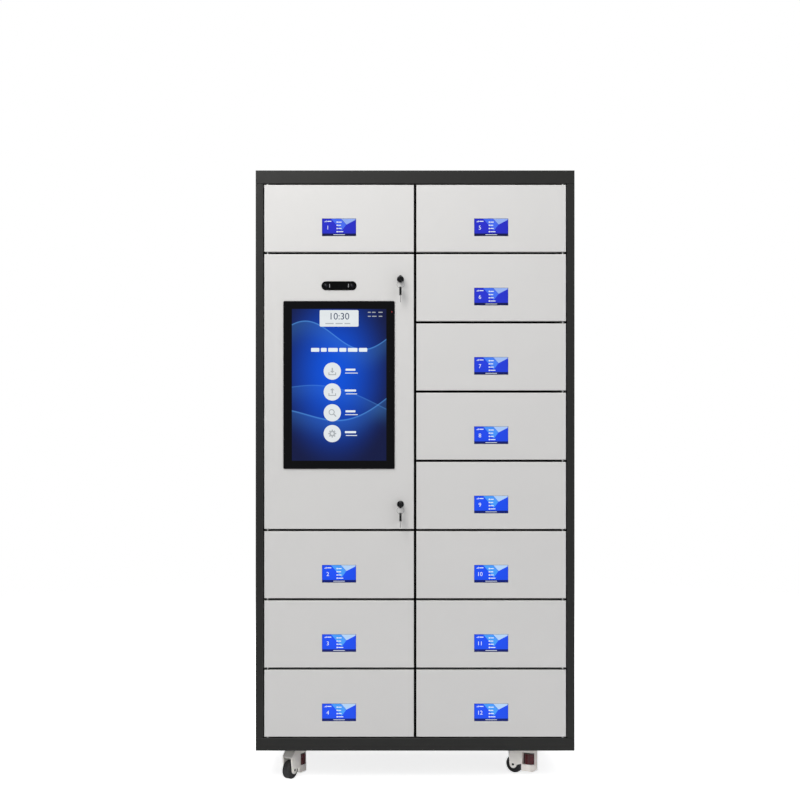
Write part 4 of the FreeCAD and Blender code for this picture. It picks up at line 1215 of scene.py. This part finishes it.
class CABINET_OT_equipment(bpy.types.Operator):
    """Finish the electric locks and the equipment in the control bay"""

    bl_idname = "cabinet.equipment"
    bl_label = "Locks and equipment"

    finishes = ("zinc plate", "anodised black", "circuit board", "perforated case", "moulded black")
    sockets = ((-82, 17, 14, 1), (-58, 17, 14, 1), (-34, 14, 7, 1), (-16, 14, 7, 1), (6, 16, 6, 1),
               (34, 31, 11, 0), (74, 31, 11, 0))
    relay = (19, 15, 16)
    terminal = (13.5, 9, 12)
    terminal_screw = ((0, 0.5), (1.9, 0.5), (1.9, 0), (0, 0))
    capacitor = ((0, 13), (4.2, 13), (5, 12.2), (5, 0), (0, 0))
    capacitor_places = (0.12, 0.22, 0.9)
    chips = ((0.42, 22), (0.64, 14), (0.76, 10))
    supply_strip = (150, 18, 8)
    supply_lamp = ((0, 0.8), (1.6, 0.6), (2, 0), (0, 0))
    pin = (2, 16, 4)
    pin_places = ((-7, -2), (0, 3), (7, -2))

    def execute(self, context):
        skin("electric_locks", ["moulded black"], radius=0.5)
        skin("control_equipment", self.finishes, radius=0.35, pick=self.units)
        bm = merged("control_equipment")
        _, computer, board, supply, inlet = [corners_of(shell) for shell in self.sorted_units(bm)]
        bm.free()
        self.computer_sockets(*computer)
        self.board_parts(*board)
        self.supply_parts(*supply)
        self.inlet_pins(*inlet)
        return {"FINISHED"}

    def sorted_units(self, bm):
        """Tray, computer, lock board, power supply and mains inlet, by the height of their tops."""
        return sorted(shells(bm), key=lambda shell: -corners_of(shell)[1].z)

    def units(self, bm):
        for index, shell in enumerate(self.sorted_units(bm)):
            marked(shell, index)

    def computer_sockets(self, low, high):
        """Sockets in the lower end of the computer."""
        bm = drawing()
        middle = (low + high) / 2
        under = Vector((middle.x, middle.y, low.z)) + mm(0, 6, -1)
        for off, wide, deep, index in self.sockets:
            spot = under + mm(off, 0, 0)
            block(bm, spot, (wide, deep, 2.4), index, radius=0.4)
            block(bm, spot - mm(0, 0, 1.2), (wide - 4, deep - 3, 0.3), index=2)
        finishes = ["relay case", "bright steel", "moulded black"]
        placed("computer_sockets", bm, "cabinet", finishes)

    def board_parts(self, low, high):
        """Relays, terminals, capacitors and chips on the lock board, one relay and terminal for each door."""
        bm = drawing()
        wide = (high.x - low.x) / MM
        over = Vector((low.x, low.y, high.z))
        doors, columns = len(COMPARTMENTS), 6
        for step in range(doors):
            row, column = divmod(step, columns)
            x = wide * (0.07 + 0.86 * column / (columns - 1))
            block(bm, low + mm(x, -7.5, 52 + 26 * row), self.relay, radius=0.6)
            x = wide * (0.05 + 0.90 * step / (doors - 1))
            block(bm, low + mm(x, -4.5, 12), self.terminal, index=1, radius=0.4)
            for side in SIDES:
                spot = low + mm(x + side * 3.2, -9, 13)
                lathe(bm, self.terminal_screw, spot, FRONT_WAY, steps=12, index=3)
        for share in self.capacitor_places:
            spot = over + mm(wide * share, 0, -20)
            lathe(bm, self.capacitor, spot, FRONT_WAY, steps=24, index=2)
        for share, size in self.chips:
            block(bm, over + mm(wide * share, -1, -22), (size, 2.0, size), index=2, radius=0.2)
        finishes = ["relay case", "terminal green", "moulded black", "bright steel"]
        placed("lock_board_parts", bm, "cabinet", finishes)

    def supply_parts(self, low, high):
        """Terminal strip, lamp and screws on the power supply."""
        bm = drawing()
        strip = Vector(((low.x + high.x) / 2, low.y, low.z)) + mm(0, 14, -4)
        block(bm, strip, self.supply_strip, radius=0.5)
        for step in range(-4, 5):
            screw_head(bm, strip + mm(step * 15.5, -9, 0), FRONT_WAY, radius=3.0, head=1, recess_shade=0)
        spot = Vector((high.x, low.y, low.z)) + mm(-14, 0, 12)
        lathe(bm, self.supply_lamp, spot, FRONT_WAY, steps=20, index=2)
        inset = 8 * MM
        for x in (low.x + inset, high.x - inset):
            spot = Vector((x, low.y, high.z - inset))
            screw_head(bm, spot, FRONT_WAY, radius=2.6, head=1, recess_shade=0)
        finishes = ["moulded black", "bright steel", "green lamp"]
        placed("power_supply_parts", bm, "cabinet", finishes)

    def inlet_pins(self, low, high):
        """Three flat pins in the well of the mains inlet."""
        bm = drawing()
        mouth = middle_at(high.y, low, high)
        for x, z in self.pin_places:
            block(bm, mouth + mm(x, -13, z), self.pin, radius=0.4)
        placed("mains_inlet_pins", bm, "cabinet", ["brass pins"])


class CABINET_OT_casters(bpy.types.Operator):
    """Paint the levelling casters and turn their wheels"""

    bl_idname = "cabinet.casters"
    bl_label = "Casters"

    stem_shown = 45
    wheel_half = 12
    over_arms = 18.5
    dish = ((4.3, 0.6), (9.0, 0.6), (9.8, 2.0), (17.5, 2.0), (19.5, 0.2))
    head = ((0, 0.7), (0.3, 0.7), (0.4, 1.2), (0.65, 1.1), (0.9, 0.6), (1.0, 0), (0, 0))

    def execute(self, context):
        dress("caster_plates", "zinc plate")
        for corner in CORNERS:
            name = f"caster_{corner}"
            skin(f"{name}_housing", ["ivory casting paint"], radius=1.8, segments=4)
            skin(f"{name}_dial", ["red dial"], radius=0.35)
            skin(f"{name}_foot", ["rubber", "bright steel"], radius=0.35, pick=self.stem)
            self.wheel(name)
            self.rivets(name)
        return {"FINISHED"}

    def stem(self, bm):
        """The stem above the pad is steel."""
        start = corners_of(bm.faces)[1].z - self.stem_shown * MM
        marked([face for face in bm.faces if face.calc_center_median().z > start], 1)

    def axle(self, name):
        joint = JOINTS[f"{name}_wheel_roll"]
        return Vector(joint["pos_m"]), Vector(joint["axis"]).normalized()

    def wheel(self, name):
        """A wheel with rounded shoulders, a dished face, a hub and a fine mould line."""
        centre, axis = self.axle(name)
        node = f"{name}_wheel"
        low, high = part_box(node)
        rim, half, bend = (high.z - low.z) / 2 / MM, self.wheel_half, setting("shoulder") / MM
        side = [(radius, half - sunk) for radius, sunk in self.dish]
        side.append((rim - bend - 1.0, half))
        for step in range(1, 6):
            turn = step * math.pi / 10
            side.append((rim - bend + bend * math.sin(turn), half - bend + bend * math.cos(turn)))
        side += [(rim, 0.5), (rim - 0.2, 0.2)]
        profile = side + [(radius, -height) for radius, height in reversed(side)]
        bm = drawing()
        lathe(bm, profile, centre, axis, steps=72, closed=True)
        piece = placed(f"{name}_tyre", bm, node, ["nylon wheel"])
        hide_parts(node)

    def rivets(self, name):
        """The riveted ends of the axle on both arms."""
        centre, axis = self.axle(name)
        radius = setting("rivet") / MM
        profile = [(radius * share, height) for share, height in self.head]
        bm = drawing()
        for way in SIDES:
            lathe(bm, profile, centre + axis * way * self.over_arms * MM, axis * way, steps=28)
        placed(f"{name}_rivets", bm, name, ["black nickel"])


class CABINET_OT_stage(bpy.types.Operator):
    """Set the floor, the light and the camera"""

    bl_idname = "cabinet.stage"
    bl_label = "Stage"

    floor_half = 4.6
    key_colour = (1.0, 0.99, 0.96)
    ambient_colour = (0.97, 0.985, 1.03, 1.0)
    strip_height = 0.05
    strip_spread = math.radians(4)

    def execute(self, context):
        look = context.scene.cabinet_stage
        self.floor()
        self.surroundings(context.scene, look.ambient)
        key = self.light("key_light", (-1.3, -2.5, 3.3), (0, 0, 1.55), look.key_power, 1.8)
        key.color = self.key_colour
        self.light("fill_light", (2.8, -3.0, 1.9), (0, 0, 0.9), look.fill_power, 2.4)
        self.light("top_light", (0, -0.4, 4.2), (0, 0, 0), look.top_power, 3.0)
        self.low_light(look.low_power)
        self.light("rear_light", (1.2, 3.6, 3.0), (0, 0, 1.0), look.rear_power, 2.4)
        camera = bpy.data.objects.new("photo_camera", bpy.data.cameras.new("photo_camera"))
        context.scene.collection.objects.link(camera)
        camera.location = look.camera_place
        camera.rotation_euler = (math.pi / 2, 0, 0)
        camera.data.lens = look.lens
        camera.data.sensor_width = 36
        context.scene.camera = camera
        context.scene.view_settings.view_transform = "Standard"
        return {"FINISHED"}

    def floor(self):
        bm = bmesh.new()
        bmesh.ops.create_grid(bm, x_segments=2, y_segments=2, size=self.floor_half)
        mesh = bpy.data.meshes.new("floor")
        bm.to_mesh(mesh)
        bm.free()
        mesh.materials.append(finished("pale floor"))
        floor = bpy.data.objects.new("floor", mesh)
        bpy.context.scene.collection.objects.link(floor)

    def surroundings(self, scene, ambient):
        """White to the eye, and a softer grey as light."""
        world = bpy.data.worlds.new("studio")
        world.use_nodes = True
        tree = world.node_tree
        soft = tree.nodes["Background"]
        soft.inputs["Color"].default_value = self.ambient_colour
        soft.inputs["Strength"].default_value = ambient
        plain = add(tree, "ShaderNodeBackground", {"Color": (1.0, 1.0, 1.0), "Strength": 1.0})
        seen = add(tree, "ShaderNodeLightPath").outputs["Is Camera Ray"]
        both = add(tree, "ShaderNodeMixShader", {0: seen, 1: soft.outputs[0], 2: plain.outputs[0]})
        tree.links.new(both.outputs[0], tree.nodes["World Output"].inputs["Surface"])
        scene.world = world

    def low_light(self, watts):
        """A narrow strip near the floor, which reaches under the base."""
        strip = self.light("low_light", (-0.4, -2.4, 0.035), (-0.2, -0.1, 0.015), watts, 1.4)
        strip.shape = "RECTANGLE"
        strip.size_y = self.strip_height
        strip.spread = self.strip_spread

    def light(self, name, place, aim, watts, size):
        """A square soft light that looks at a spot."""
        data = bpy.data.lights.new(name, "AREA")
        data.energy = watts
        data.size = size
        lamp_object = bpy.data.objects.new(name, data)
        bpy.context.scene.collection.objects.link(lamp_object)
        lamp_object.location = place
        way = Vector(aim) - Vector(place)
        lamp_object.rotation_euler = way.to_track_quat("-Z", "Y").to_euler()
        return data


PIECES = (
    CABINET_OT_carcass, CABINET_OT_doors, CABINET_OT_displays, CABINET_OT_touch_screen, CABINET_OT_camera_bar,
    CABINET_OT_key_locks, CABINET_OT_equipment, CABINET_OT_casters, CABINET_OT_stage,
)


class CABINET_PT_finish(bpy.types.Panel):
    """Lists what finishes the cabinet"""

    bl_idname = "CABINET_PT_finish"
    bl_label = "Storage cabinet"
    bl_space_type = "VIEW_3D"
    bl_region_type = "UI"
    bl_category = "Cabinet"

    def draw(self, context):
        for settings in SETTINGS:
            box = self.layout.box()
            look = getattr(context.scene, settings)
            for name in look.__annotations__:
                box.prop(look, name)
        for piece in PIECES:
            self.layout.operator(piece.bl_idname)


def register():
    for name, settings in SETTINGS.items():
        bpy.utils.register_class(settings)
        setattr(bpy.types.Scene, name, PointerProperty(type=settings))
    for piece in PIECES:
        bpy.utils.register_class(piece)
    bpy.utils.register_class(CABINET_PT_finish)


def unregister():
    bpy.utils.unregister_class(CABINET_PT_finish)
    for piece in reversed(PIECES):
        bpy.utils.unregister_class(piece)
    for name, settings in reversed(SETTINGS.items()):
        delattr(bpy.types.Scene, name)
        bpy.utils.unregister_class(settings)


def main():
    register()
    bpy.ops.cabinet.carcass()
    bpy.ops.cabinet.doors()
    bpy.ops.cabinet.displays()
    bpy.ops.cabinet.touch_screen()
    bpy.ops.cabinet.camera_bar()
    bpy.ops.cabinet.key_locks()
    bpy.ops.cabinet.equipment()
    bpy.ops.cabinet.casters()
    bpy.ops.cabinet.stage()


if __name__ == "__main__":
    main()
